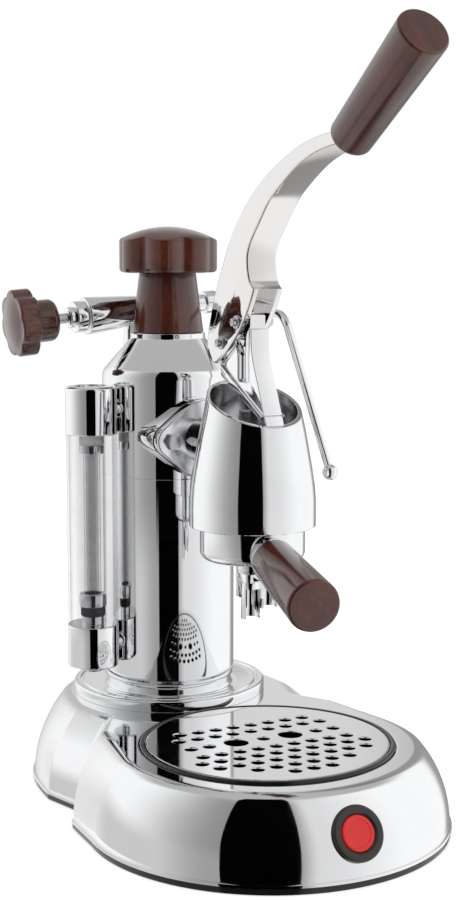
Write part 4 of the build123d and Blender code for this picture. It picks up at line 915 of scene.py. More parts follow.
@dataclass(frozen=True)
class MouldedPlastic:
    """Moulded plastic, gloss or satin."""

    name: str
    colour: Spot
    rough: float = 0.12
    grain: float = 0.15

    def make(self) -> bpy.types.Material:
        """Builds the finish's nodes.

        Returns:
            The new material.
        """
        r = Recipe.material(self.name)
        skin = r.noise(1400.0, 2.0)
        scuff = r.noise(70.0, 4.0, 0.65).step(0.5, 0.8)
        colour = r.tint(scuff, self.colour, tuple(min(c * 1.25 + 0.004, 1.0) for c in self.colour))
        return r.surface({"Base Color": colour, "Roughness": scuff * 0.10 + self.rough,
                          "Normal": r.bump(skin, 0.00004, self.grain)})


@dataclass(frozen=True)
class SoftRubber:
    """Matt rubber."""

    name: str
    colour: Spot

    def make(self) -> bpy.types.Material:
        """Builds the finish's nodes.

        Returns:
            The new material.
        """
        r = Recipe.material(self.name)
        bloom = r.noise(120.0, 4.0).step(0.4, 0.8)
        colour = r.tint(bloom, self.colour, tuple(min(c * 1.3 + 0.01, 1.0) for c in self.colour))
        return r.surface({"Base Color": colour, "Roughness": bloom * 0.12 + 0.62,
                          "Normal": r.bump(r.noise(1800.0, 2.0), 0.00005, 0.3)})


@dataclass(frozen=True)
class ClearTube:
    """Clear glass or plastic of a thin tube, with a painted highlight along its edges and painted shade over its
    middle.
    """

    name: str
    # colour of the painted highlight along the edges; the middle is tinted dark as painted shade
    colour: Spot = (0.62, 0.66, 0.70)
    rough: float = 0.015
    index: float = 1.45
    # opacity of the dark painted shade over the tube's middle
    painted_shade_veil: float = 0.24
    # opacity of the painted highlight along the tube's edges
    rim: float = 0.62

    def make(self) -> bpy.types.Material:
        """Builds the finish's nodes.

        Returns:
            The new material.
        """
        r = Recipe.material(self.name)
        film = r.noise(90.0, 3.0).step(0.45, 0.85)
        # colour and opacity by facing: a light painted highlight along the edges, a dark painted shade over the
        # middle
        turned = r.node("ShaderNodeLayerWeight", {}, {"Blend": 0.5}).out("Facing")
        edge = turned ** 3.0
        colour = r.tint(edge, (0.06, 0.065, 0.08), self.colour)
        # dark painted shade over the middle, thinner toward the edges
        painted_shade_veil = (1 - turned.step(0.02, 0.45) * 0.75) * self.painted_shade_veil
        return r.surface({"Base Color": colour, "Roughness": film * 0.03 + self.rough, "IOR": self.index,
                          "Alpha": edge * self.rim + film * 0.03 + painted_shade_veil,
                          "Normal": r.bump(film, 0.00002, 0.1)})


class Finish(Enum):
    """The finishes of the machine."""

    CHROME = PolishedChrome()
    WOOD_UP = StainedWood()
    WOOD_SIDE = StainedWood("stained_wood_side", grain=(0.12, 1.0, 1.0))
    WOOD_FRONT = StainedWood("stained_wood_front", grain=(1.0, 0.12, 1.0))
    BLACK = MouldedPlastic("black_gloss_plastic", (0.008, 0.008, 0.009), 0.08)
    DARK = MouldedPlastic("dark_satin_plastic", (0.022, 0.022, 0.024), 0.30, 0.4)
    BEZEL = MouldedPlastic("bezel_satin_plastic", (0.020, 0.017, 0.015), 0.26, 0.3)
    RED = MouldedPlastic("red_lens", (0.58, 0.018, 0.017), 0.10, 0.08)
    RUBBER = SoftRubber("black_rubber", (0.018, 0.018, 0.018))
    PALE_SEAL = SoftRubber("pale_seal", (0.70, 0.69, 0.66))
    BRASS = BrushedMetal("turned_brass", (0.72, 0.50, 0.22))
    STEEL = BrushedMetal("ground_steel", (0.60, 0.60, 0.62))
    SATIN = BrushedMetal("satin_chrome", (0.88, 0.885, 0.90), 0.15, (1.0, 1.0, 1.0), 0.04, 0.97)
    NICKEL = PolishedChrome("polished_nickel", (0.78, 0.765, 0.755))
    PLATED = BrushedMetal("plated_bolt", (0.93, 0.93, 0.94), 0.36, (1.0, 1.0, 1.0), 0.05, 0.97)
    GRID = PolishedChrome("polished_grid", rough=0.06, haze=0.06)
    WOOD_LEVER = StainedWood("stained_wood_lever", grain=(1.0, 0.3, 0.4))
    # both clear finishes paint a highlight along the edges and shade over the middle
    GLASS = ClearTube("clear_glass")
    GUARD = ClearTube("clear_guard", (0.55, 0.60, 0.66), 0.02, 1.49, 0.16, 0.5)

    def material(self) -> bpy.types.Material:
        """The finish's material, made once."""
        found = bpy.data.materials.get(self.value.name)
        return found or self.value.make()


# sub-assemblies


@dataclass
class SubAssembly:
    """Common work of the machine's sub-assemblies."""

    count: int = field(default=0, init=False)

    def dress(self, piece: Piece, finish: Finish, body: str, node: str) -> None:
        """Gives a piece its finish and its place in the frame.

        Args:
            piece: the new object.
            finish: its finish.
            body: the body it moves with.
            node: the CAD node it stands for, which is hidden.
        """
        piece.data.materials.clear()
        piece.data.materials.append(finish.material())
        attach(piece, body)
        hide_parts(node)
        self.count += 1
        LOG.info("%s: %s, %d faces", piece.name, finish.name, len(piece.data.polygons))

    def keep(self, nodes: dict, finishes: dict[str, Finish]) -> None:
        """Keeps CAD nodes as they are and gives them a finish.

        Args:
            nodes: the frame's nodes.
            finishes: node name to finish.
        """
        for name, finish in finishes.items():
            mesh = nodes[name].data
            mesh.materials.clear()
            mesh.materials.append(finish.material())
            self.count += 1
            LOG.info("%s: kept, %s", name, finish.name)


@dataclass
class BaseUnit(SubAssembly):
    """Chrome base shell, its bottom cover and the rear power inlet."""

    lobe_y: float = TRAY_Y
    front_foot: float = 99.2
    front_deck: float = 80.5
    seat_run: float = 22.3
    tangent: float = 6.0
    lip: tuple[float, float] = (3.7, 5.3)
    lip_share: float = -0.06
    deck: float = 46.0
    wall: float = 1.8
    tray_hole: float = 69.9
    seat: float = 42.5
    switch_z: float = 26.0
    shoulder: float = 40.0
    levels: tuple[int, int] = (30, 12)
    sides: int = 160
    crisp: float = 38.0
    screws: tuple[Point, ...] = ((79.0, -157.5), (76.0, -24.0), (46.0, 34.0))
    foot_points: dict[str, Point] = field(default_factory=lambda: {
        "A": (-97.4, -87.0), "N": (-84.6, -66.0), "C": (-92.8, -37.0),
        "M1": (-87.0, 2.4), "M2": (-65.6, 37.2), "R": (0.0, 64.0)})
    deck_points: dict[str, Point] = field(default_factory=lambda: {
        "A": (-70.9, -69.0), "N": (-56.0, -44.0), "C": (-63.3, -15.6),
        "M1": (-59.6, 14.0), "M2": (-42.8, 43.2), "R": (0.0, 60.4)})
    mitre: dict[str, float] = field(default_factory=lambda: {
        "A": 1.15, "N": 1.25, "C": 1.05, "M1": 1.0, "M2": 1.0, "R": 1.0})
    corner: dict[str, float] = field(default_factory=lambda: {"A": 2.6, "N": 5.0, "C": 8.0})

    @property
    def rise(self) -> float:
        """Height of the flank."""
        return self.deck - self.lip[1]

    @property
    def run(self) -> float:
        """How far the flank comes in."""
        return self.front_foot - self.front_deck

    def inset(self, height: float) -> float:
        """Inset of the flank at a height above the lip: a wide arc, then a tighter shoulder.

        Args:
            height: height above the lip.

        Returns:
            The inset.
        """
        wide, tight = self.arcs
        turn = math.radians(self.shoulder)
        knee = wide * math.sin(turn)
        if height <= knee:
            return wide - math.sqrt(wide**2 - height**2)
        rise = height - knee + tight * math.sin(turn)
        start = wide * (1 - math.cos(turn)) + tight * math.cos(turn)
        return start - math.sqrt(max(tight**2 - rise**2, 0.0))

    @property
    def arcs(self) -> Point:
        """Radii of the flank's wide arc and of its shoulder.

        Returns:
            The two radii.
        """
        turn = math.radians(self.shoulder)
        one, two = math.sin(turn), 1 - math.cos(turn)
        tight = (self.run * one - self.rise * two) / (math.cos(turn) * one - (1 - one) * two)
        return (self.rise - (1 - one) * tight) / one, tight

    def outline(self, share: float, inward: float) -> list[Point]:
        """Closed outline of the base.

        Args:
            share: zero at the foot, one at the deck.
            inward: even shift toward the inside.

        Returns:
            The outline, with the same number of points for every share.
        """
        pts: dict[str, Point] = {}
        for key, (fx, fy) in self.foot_points.items():
            dx, dy = self.deck_points[key]
            here = Vector((fx + (dx - fx) * share, fy + (dy - fy) * share))
            middle = Vector((0.0, {"A": self.lobe_y, "N": -55.0}.get(key, -10.0)))
            here += (middle - here).normalized() * inward * self.mitre[key]
            pts[key] = (here.x, here.y)
        radius = self.front_foot + (self.front_deck - self.front_foot) * share - inward
        half = [pts["C"], pts["M1"], pts["M2"], pts["R"]]
        back = smooth_line([(-x, y) for x, y in half] + half[-2::-1], 10)
        front = arc((0.0, self.lobe_y), radius, 180 - self.tangent, 360 + self.tangent, 110)
        corners: list[tuple] = [(*p,) for p in front]
        corners += [(-pts[k][0], pts[k][1], self.corner[k]) for k in ("A", "N")]
        corners += [(*back[0], self.corner["C"])] + [(*p,) for p in back[1:-1]] + [(*back[-1], self.corner["C"])]
        corners += [(*pts[k], self.corner[k]) for k in ("N", "A")]
        return rounded(corners, True, 8)

    def shell(self) -> Piece:
        """Closed thin-walled shell with the tray's seat.

        Returns:
            The shell.
        """
        net = Net()
        low, top = self.lip
        outer = [net.level(self.outline(self.lip_share, inward), height)
                 for inward, height in ((0, low), (0, top - 0.7), (0.2, top - 0.2), (0.7, top))]
        outer_levels, inner_levels = self.levels
        for step in range(outer_levels + 1):
            height = (self.rise - 0.25) * step / outer_levels
            outer.append(net.level(self.outline(self.inset(height) / self.run, 0), top + height))
        outer += [net.level(self.outline(1.0, inward), height)
                  for inward, height in ((0.35, self.deck - 0.07), (0.8, self.deck), (1.5, self.deck))]
        inner = [net.level(self.outline(0.0, self.wall), low)]
        for step in range(inner_levels + 1):
            height = (self.rise - 2.0) * step / inner_levels
            inner.append(net.level(self.outline(self.inset(height) / self.run, self.wall), top + height))
        net.skin(outer)
        net.skin(inner)
        net.skin([outer[0], inner[0]])
        deck, seat = self.deck, self.seat
        hole = [net.level(circle((0.0, self.lobe_y), self.tray_hole + past, self.sides), height) for past, height in (
            (1.3, deck), (0.6, deck), (0.17, deck - 0.17), (0.0, deck - 0.6), (0.0, seat), (-4.0, seat),
            (-4.0, seat - 2.0), (1.8, seat - 2.0), (1.8, deck - 2.0))]
        net.skin(hole)
        net.plate([outer[-1], hole[0]])
        net.plate([inner[-1], hole[-1]])
        return net.build("base_chrome_shell", self.crisp)

    def switch_place(self) -> Place:
        """Frame of the switch in the front flank.

        Returns:
            The frame.
        """
        height = self.switch_z - self.lip[1]
        flank = (self.seat_run**2 + self.rise**2) / (2 * self.seat_run)
        angle = math.asin(height / flank)
        y = self.lobe_y - self.front_foot + flank - math.sqrt(flank**2 - height**2)
        return Place(Vector((0, y, self.switch_z)), Vector((1, 0, 0)), Vector((0, math.sin(angle), math.cos(angle))))

    def cover(self) -> Piece:
        """Flat bottom cover with recessed screw holes.

        Returns:
            The cover.
        """
        net = Net()
        edge = self.lip_share / 2
        rims = [net.level(self.outline(edge, inward), height)
                for inward, height in ((0.8, 0.0), (0.15, 0.25), (0.0, 0.9), (0.0, 3.65))]
        net.skin(rims)
        net.faces.append(rims[-1])
        borders = [rims[0]]
        for x, y in [(side * x, y) for x, y in self.screws for side in (-1, 1)]:
            bore = [net.level(circle((x, y), radius, 24), height)
                    for radius, height in ((3.6, 0.0), (3.25, 0.3), (3.25, 2.5))]
            net.skin(bore)
            net.faces.append(bore[-1])
            borders.append(bore[0])
        net.plate(borders)
        return net.build("base_bottom_cover")

    def make(self, nodes: dict) -> None:
        """Builds and dresses the base.

        Args:
            nodes: the frame's nodes.
        """
        shell = self.shell()
        Shape.drill(shell, 11.65, -30, 12, self.switch_place(), 96, self.crisp)
        frame = rounded([(-15.1, -11.1, 3), (15.1, -11.1, 3), (15.1, 11.1, 3), (-15.1, 11.1, 3)])
        window = Shape.prism("inlet_window", frame, Place.front(75.0, 24.0), 0.0, 40.0)
        Shape.combine(shell, window, Boolean.CUT, self.crisp)
        self.dress(shell, Finish.CHROME, "machine", "base_shell")
        self.dress(self.cover(), Finish.BLACK, "machine", "bottom_cover")
        self.keep(nodes, {"cover_screws": Finish.STEEL, "power_inlet": Finish.DARK})


@dataclass
class DripStation(SubAssembly):
    """Drip tray and its perforated grid."""

    centre_y: float = TRAY_Y
    rim: tuple[float, float] = (66.9, 69.6)
    grid: float = 66.6
    top: float = 47.2
    pitch: float = 11.0
    hole: float = 3.55
    finger: float = 6.7
    rows: tuple[tuple[float, int], ...] = ((-51.5, 3), (-41.5, 6), (-31.0, 9), (-20.7, 10), (-10.4, 9),
                                           (19.6, 9), (30.3, 8))

    def plate(self) -> Piece:
        """Perforated plate with a short skirt and eased holes.

        Returns:
            The plate.
        """
        net = Net()
        beside = self.centre_y + 4.5
        spots = [((step - (count - 1) / 2) * self.pitch, self.centre_y + row, self.hole)
                 for row, count in self.rows for step in range(count)]
        spots += [(x, beside, self.hole) for x in (0.0, 33.0, -33.0, 44.0, -44.0)]
        spots += [(side * 16.7, beside, self.finger) for side in (-1, 1)]
        rim = [net.level(circle((0.0, self.centre_y), self.grid - inward, 160), self.top - down) for inward, down in (
            (1.3, 0.0), (0.9, 0.0), (0.25, 0.25), (0.0, 0.9), (0.0, 2.7), (1.2, 2.7), (1.2, 1.2))]
        net.skin(rim)
        above, below = [rim[0]], [rim[-1]]
        for x, y, radius in spots:
            rings = [net.level(circle((x, y), radius + past, 32), self.top - down) for past, down in (
                (0.6, 0.0), (0.4, 0.0), (0.1, 0.12), (0.0, 0.4), (0.0, 1.2))]
            net.skin(rings)
            above.append(rings[0])
            below.append(rings[-1])
        net.plate(above)
        net.plate(below)
        return net.build("drip_grid_plate", 30.0)

    def make(self, nodes: dict) -> None:
        """Builds and dresses the tray and the grid.

        Args:
            nodes: the frame's nodes; not used.
        """
        low, high = self.rim
        section = rounded([(0, 14.0), (65.6, 14.0, 4.0), (65.6, 42.5), (high, 42.5, 0.4), (high, 47.4, 1.0),
                           (low, 47.4, 0.7), (low, 44.5), (63.8, 44.5, 0.3), (63.8, 15.8, 3.0), (0, 15.8)], False, 5)
        tray = Shape.lathe("drip_tray_bowl", section, Place.upright(0, self.centre_y), 160)
        self.dress(tray, Finish.BLACK, "tray", "drip_tray")
        self.dress(self.plate(), Finish.GRID, "grid", "drip_grid")


@dataclass
class SwitchUnit(SubAssembly):
    """Round push switch in the front of the base."""

    place: Place
    bezel: float = 14.25
    proud: float = 2.6
    bore: float = 9.4
    lens: float = 9.3

    def make(self, nodes: dict) -> None:
        """Builds and dresses the bezel and the lens.

        Args:
            nodes: the frame's nodes.
        """
        ring = rounded([(11.6, -20.0), (11.6, -3.2), (self.bezel, -3.2), (self.bezel, self.proud, 1.4),
                        (self.bore + 1.0, self.proud, 0.3), (self.bore, self.proud - 1.0, 0.3), (self.bore, -20.0)],
                       True, 6)
        self.dress(Shape.lathe("switch_bezel_ring", ring, self.place, 96, True), Finish.BEZEL, "machine",
                   "switch_bezel")
        face = rounded([(0, -6.0), (self.lens, -6.0), (self.lens, 2.2, 1.2), (self.lens - 2.2, 2.2, 0.3),
                        (self.lens - 2.6, 1.95, 0.3), (0, 1.95)], False, 6)
        self.dress(Shape.lathe("switch_red_lens", face, self.place, 96), Finish.RED, "button", "switch_button")
        self.keep(nodes, {"switch_body": Finish.DARK})


@dataclass
class BoilerUnit(SubAssembly):
    """Collar, boiler and dome with its bosses."""

    radius: float = BOILER_RADIUS
    foot: float = 56.3
    seam: float = 180.0
    cone_sum: float = BOILER_RADIUS + 243.16
    neck: float = 22.3
    neck_top: float = 263.6

    def make(self, nodes: dict) -> None:
        """Builds and dresses the boiler.

        Args:
            nodes: the frame's nodes.
        """
        centre = Place.upright(0, 0)
        cut = 0.35
        collar = rounded([(33.9, 46.0), (58.2, 46.0, 0.4), (58.2, 52.6, 1.6), (54.6, 52.6, 0.3), (53.8, 51.6, 0.2),
                          (52.8, 51.6, 0.2), (52.0, 52.4, 0.3), (49.2, 52.2, 2.0), (41.7, 50.2, 2.0),
                          (38.2, 50.0, 1.0), (38.2, 56.3, 0.5), (33.9, 56.3)], True, 6)
        self.dress(Shape.lathe("boiler_collar", collar, centre, 160, True), Finish.CHROME, "machine", "collar_ring")
        tube = rounded([(28.0, 38.5), (33.8, 38.5, 0.4), (33.8, self.foot), (self.radius, self.foot, 1.0),
                        (self.radius, self.seam - cut), (self.radius - cut, self.seam), (38.04, self.seam),
                        (38.04, 59.3, 2.0), (28.0, 59.3)], True, 5)
        self.dress(Shape.lathe("boiler_lower_shell", tube, centre, 192, True), Finish.CHROME, "machine",
                   "boiler_tube")
        side_top = self.cone_sum - self.radius
        dome = rounded([(37.84, self.seam), (self.radius - cut, self.seam), (self.radius, self.seam + cut),
                        (self.radius, side_top - 2.2, 9.0), (self.neck, self.cone_sum - self.neck, 1.2),
                        (self.neck, self.neck_top, 0.6), (16.0, self.neck_top, 0.5), (16.0, 254.0),
                        (26.25, 254.0), (37.84, side_top - 3.5, 7.5)], True, 12)
        shell = Shape.lathe("boiler_dome_shell", dome, centre, 192, True)
        boss = Shape.prism("flange_boss", rhombus(), Place.front(-22.5, FLANGE_Z), 0.0, 24.0, 0.5)
        foot = Shape.rod("valve_boss", 7.5, 246.0, 262.5, Place.upright(*VALVE_BOSS), 64)
        self.dress(Shape.join("boiler_dome_and_bosses", [shell, boss, foot]), Finish.CHROME, "machine",
                   "boiler_dome")
        self.keep(nodes, {"boiler_ring_nut": Finish.BRASS, "element_gasket": Finish.RUBBER,
                          "heating_element": Finish.STEEL, "pressure_switch": Finish.DARK,
                          "cap_gasket": Finish.RUBBER, "flange_gasket": Finish.RUBBER})


@dataclass
class LobedKnob:
    """Turned wooden knob with seven lobes."""

    reach: float
    lobe: float
    blend: float
    turn: float
    low: float
    side: float
    apex: float
    edge: float
    ball_reach: Optional[float] = None
    soft: float = 0.8

    def mesh(self, name: str, place: Place) -> Piece:
        """Builds the lobed body.

        Args:
            name: the object's name.
            place: frame of the knob's axis.

        Returns:
            The new object.
        """
        outline = Lobes(self.reach, self.lobe, 7, self.turn, self.blend).radii()
        drop = self.apex - self.side
        wide = self.ball_reach or self.reach
        ball = (wide**2 + drop**2) / (2 * drop)

        def crown(radius: float) -> float:
            """Height of the domed face at a radius."""
            return self.apex - ball + math.sqrt(max(ball**2 - radius**2, 0.0))

        net = Net()
        rows: list[list[int]] = []

        def row(values: Iterable[Spot]) -> None:
            """Adds a ring from (angle, radius, height) values."""
            rows.append(net.ring(place.at(r * math.cos(a), r * math.sin(a), z) for a, r, z in values))

        e = self.edge
        row([(a, (r - e) * 0.55, self.low) for a, r in outline])
        for turn in (0, 18, 36, 54, 72, 90):
            t = math.radians(turn)
            row([(a, r - e * (1 - math.sin(t)), self.low + e * (1 - math.cos(t))) for a, r in outline])
        soft = self.soft
        for share in (0.5, 1.0):
            row([(a, r, self.low + e + (crown(min(r, wide)) - soft - self.low - e) * share) for a, r in outline])
        for turn in (25, 50, 75):
            t = math.radians(turn)
            row([(a, r - soft * (1 - math.cos(t)),
                  crown(min(r, wide)) - soft * (1 - math.sin(t)) + (crown(min(r - soft, wide)) - crown(min(r, wide)))
                  * (turn / 90)) for a, r in outline])
        for share in (1.0, 0.985, 0.94, 0.86, 0.75, 0.6, 0.42, 0.22, 0.08):
            row([(a, (r - soft) * share, crown(min((r - soft) * share, wide))) for a, r in outline])
        net.faces += [rows[0][::-1], rows[-1]]
        net.skin(rows)
        return net.build(name, WOOD_CRISP)


@dataclass
class CapUnit(SubAssembly):
    """Boiler cap: wooden knob and cone on a brass plug."""

    knob: LobedKnob = field(default_factory=lambda: LobedKnob(
        29.7, 12.0, 3.0, -170.9, 299.2, 318.2, 326.3, 2.5))

    def make(self, nodes: dict) -> None:
        """Builds and dresses the cap.

        Args:
            nodes: the frame's nodes.
        """
        centre = Place.upright(0, 0)
        cone = rounded([(20.2, 263.9), (21.4, 263.9, 0.4), (16.9, 299.2, 0.5), (12.05, 299.2), (12.05, 265.7),
                        (20.2, 265.7)], True, 5)
        self.dress(Shape.lathe("cap_wood_cone", cone, centre, 128, True), Finish.WOOD_UP, "cap", "cap_cone")
        self.dress(self.knob.mesh("cap_wood_knob", centre), Finish.WOOD_SIDE, "cap", "cap_knob")
        self.keep(nodes, {"cap_plug": Finish.BRASS})


@dataclass
class SteamUnit(SubAssembly):
    """Steam valve, its knob and the swivelling wand."""

    origin: Vector = field(default_factory=lambda: Vector((0, 30.0, 276.5)))
    tilt: float = 5.0
    wand: float = 2.4
    wand_s: float = 50.2
    barrel_end: float = 42.5
    bends: tuple[Spot, ...] = ((0.0, 0.0, 3.9), (82.5, -5.9, 14.0))
    tip: Point = (124.0, -94.2)
    knob: LobedKnob = field(default_factory=lambda: LobedKnob(
        20.2, 8.6, 2.0, 12.0, 75.5, 87.5, 90.0, 1.8, 20.2 * 0.78, 1.2))

    @property
    def axis(self) -> Vector:
        """Direction of the valve, from the knob to the wand."""
        return Vector((math.cos(math.radians(self.tilt)), 0, math.sin(math.radians(self.tilt))))

    def wand_path(self) -> tuple[list[Vector], Vector, Vector]:
        """Centre line of the wand, the tip's centre and its direction.

        Returns:
            The points of the line, then the other two.
        """
        plane = Place(self.origin + self.axis * self.wand_s, Vector((0, -1, 0)),
                      (self.axis * -1).cross(Vector((0, -1, 0))))
        start = self.origin + self.axis * (self.barrel_end + 0.1)
        corners = [plane.at(a, b) for a, b, _ in self.bends]
        tip = plane.at(*self.tip)
        course = (tip - corners[1]).normalized()
        stops = [start, corners[0], corners[1], tip - course * 2.5]
        path = [start]
        for i in (1, 2):
            here, radius = stops[i], self.bends[i - 1][2]
            inward, outward = (here - stops[i - 1]).normalized(), (stops[i + 1] - here).normalized()
            half = inward.angle(outward) / 2
            reach = radius * math.tan(half)
            middle = here + (outward - inward).normalized() * (radius / math.cos(half))
            one, two = here - inward * reach - middle, here + outward * reach - middle
            for step in range(17):
                path.append(middle + one.slerp(two, step / 16).normalized() * radius)
        path.append(stops[-1])
        return path, tip, course

    def make(self, nodes: dict) -> None:
        """Builds and dresses the steam valve and the wand.

        Args:
            nodes: the frame's nodes.
        """
        line = Place.along(self.origin, self.axis)
        barrel = rounded([(4.2, -42.0), (11.4, -42.0, 1.6), (9.4, -14.0, 8.0), (8.4, -3.0, 2.0), (5.3, 8.0, 3.0),
                          (5.3, 42.5), (2.0, 42.5), (2.0, -5.0), (3.45, -5.0), (3.45, -27.0), (4.2, -27.0)], True, 5)
        tube = Shape.lathe("steam_barrel", barrel, line, 96, True)
        foot = Shape.rod("steam_foot", 7.5, 262.5, 275.0, Place.upright(*VALVE_BOSS), 64)
        self.dress(Shape.join("steam_valve_barrel", [tube, foot]), Finish.CHROME, "machine", "steam_valve_body")
        nut = rounded([(3.05, -38.0), (4.15, -38.0), (4.15, -42.0), (9.4, -42.0, 0.8), (9.4, -49.0, 0.8),
                       (6.4, -49.0), (6.4, -53.0, 1.5), (3.05, -53.0)], True, 5)
        self.dress(Shape.lathe("steam_packing_ring", nut, line, 96, True), Finish.CHROME, "machine",
                   "steam_packing_nut")
        away = Place.along(self.origin, self.axis * -1)
        cross = Vector((0, 1, 0))
        knob_place = Place(self.origin, cross, away.w.cross(cross))
        body = self.knob.mesh("steam_knob_body", knob_place)
        hub = Shape.lathe("steam_knob_hub", rounded([(3.05, 74.0), (3.05, 61.0), (12.6, 61.0, 4.0), (12.6, 76.5),
                                                     (0, 76.5)], False, 8), knob_place, 96)
        self.dress(Shape.join("steam_wood_knob", [body, hub], WOOD_CRISP), Finish.WOOD_UP, "valve_knob", "steam_knob")
        wnut = rounded([(5.35, 38.0), (7.0, 38.0, 0.8), (7.0, 46.0, 0.8), (2.45, 46.0), (2.45, 44.2),
                        (5.35, 44.2)], True, 5)
        self.dress(Shape.lathe("wand_union_nut", wnut, line, 96, True), Finish.CHROME, "machine", "wand_nut")
        path, tip, course = self.wand_path()
        pipe = Shape.tube("wand_pipe", path, self.wand, 1.4, 48)
        flange = Shape.lathe("wand_flange", [(1.4, 42.6), (4.9, 42.6), (4.9, 44.0), (1.4, 44.0)], line, 64, True)
        self.dress(Shape.join("steam_wand_tube", [pipe, flange]), Finish.CHROME, "wand", "steam_wand")
        section = [(0, -3.0), (2.4, -3.0)] + arc((0, 0), 4.5, -90 + 32.5, 90 - 10.5, 24) + [(0.8, 1.0), (0, 1.0)]
        nose = Shape.lathe("wand_tip_ball", section, Place.along(tip, course), 64)
        self.dress(nose, Finish.CHROME, "wand", "wand_tip")
        self.keep(nodes, {"steam_stem": Finish.STEEL, "steam_needle": Finish.STEEL})


@dataclass
class SightGlass(SubAssembly):
    """Level gauge beside the boiler."""

    x: float = -54.1
    y: float = -10.8
    block: float = 15.2
    upper: tuple[float, float] = (206.2, 234.3)
    lower: tuple[float, float] = (68.5, 93.5)
    bore: float = 5.05
    guard_radii: Point = (13.4, 14.8)
    guard_slot: float = 6.0

    def arm(self, name: str, height: float) -> Piece:
        """Round arm from a block to the boiler.

        Args:
            name: the object's name.
            height: height of the arm's axis.

        Returns:
            The arm.
        """
        inward = Vector((-self.x, -self.y, 0)).normalized()
        reach = math.hypot(self.x, self.y) - BOILER_RADIUS
        return Shape.rod(name, 7.0, 4.0, reach + 0.7, Place.along(Vector((self.x, self.y, height)), inward), 64)

    def ring(self, name: str, outer: float, start: float, height: float) -> Piece:
        """Ring round the glass with eased edges.

        Args:
            name: the object's name.
            outer: its outer radius.
            start: height of its lower face.
            height: its own height.

        Returns:
            The ring.
        """
        stop = start + height
        section = rounded([(self.bore, start), (outer, start, 0.6), (outer, stop, 0.6), (self.bore, stop)], True, 4)
        return Shape.lathe(name, section, Place.upright(self.x, self.y), 72, True)

    def guard(self) -> Piece:
        """Clear guard tube with a slot toward the boiler.

        Returns:
            The guard.
        """
        facing = math.degrees(math.atan2(-self.y, -self.x))
        near, far = self.guard_radii
        gap_in, gap_out = (math.degrees(math.asin(self.guard_slot / radius)) for radius in (near, far))
        outer = arc((0, 0), far, facing + gap_out, facing + 360 - gap_out, 96)
        inner = arc((0, 0), near, facing + 360 - gap_in, facing + gap_in, 96)
        return Shape.prism("gauge_clear_guard", outer + inner, Place.upright(self.x, self.y), 93.55, 206.15, 0.25, 2)

    def make(self, nodes: dict) -> None:
        """Builds and dresses the level gauge.

        Args:
            nodes: the frame's nodes; not used.
        """
        centre = Place.upright(self.x, self.y)
        low, high = self.upper
        top = rounded([(5.05, 209.7), (5.05, low), (self.block, low, 0.8), (self.block, high, 3.0), (10.0, high, 0.3),
                       (10.0, high - 0.8, 0.2), (0, high - 0.8)], False, 8)
        upper = Shape.join("gauge_upper_fitting", [Shape.lathe("gauge_top", top, centre, 112),
                                                   self.arm("gauge_top_arm", 220.0)])
        self.dress(upper, Finish.CHROME, "machine", "gauge_top_block")
        low, high = self.lower
        foot = rounded([(0, low), (self.block, low, 1.2), (self.block, high, 0.8), (6.6, high, 0.3),
                        (6.6, high + 5.0, 0.4), (5.05, high + 5.0), (5.05, 90.0), (0, 90.0)], False, 8)
        bottom = Shape.join("gauge_lower_fitting", [Shape.lathe("gauge_foot", foot, centre, 112),
                                                    self.arm("gauge_foot_arm", 81.0)])
        self.dress(bottom, Finish.CHROME, "machine", "gauge_bottom_block")
        glass = Shape.lathe("gauge_level_tube", [(3.6, 90.0), (5.0, 90.0), (5.0, 209.7), (3.6, 209.7)], centre, 72,
                            True)
        self.dress(glass, Finish.GLASS, "machine", "gauge_glass")
        self.dress(self.guard(), Finish.GUARD, "machine", "gauge_shield")
        for name, outer, start, height, finish, node in (
                ("gauge_upper_seal", 7.2, 200.0, 6.2, Finish.PALE_SEAL, "gauge_top_seal"),
                ("gauge_upper_nut", 7.5, 194.8, 5.2, Finish.CHROME, "gauge_top_nut"),
                ("gauge_lower_seal", 7.2, 98.5, 5.5, Finish.RUBBER, "gauge_bottom_seal"),
                ("gauge_lower_nut", 8.0, 104.0, 7.7, Finish.CHROME, "gauge_bottom_nut")):
            self.dress(self.ring(name, outer, start, height), finish, "machine", node)
        screw = rounded([(0, 65.1), (5.5, 65.1, 0.6), (5.5, 68.5), (2.95, 68.5), (2.95, 75.5), (0, 75.5)], False)
        head = Shape.lathe("gauge_drain_screw", screw, centre, 64)
        slit = Shape.prism("screw_slit", [(-7, -0.7), (7, -0.7), (7, 0.7), (-7, 0.7)], centre, 64.0, 66.5)
        Shape.combine(head, slit, Boolean.CUT)
        self.dress(head, Finish.STEEL, "machine", "gauge_screw")


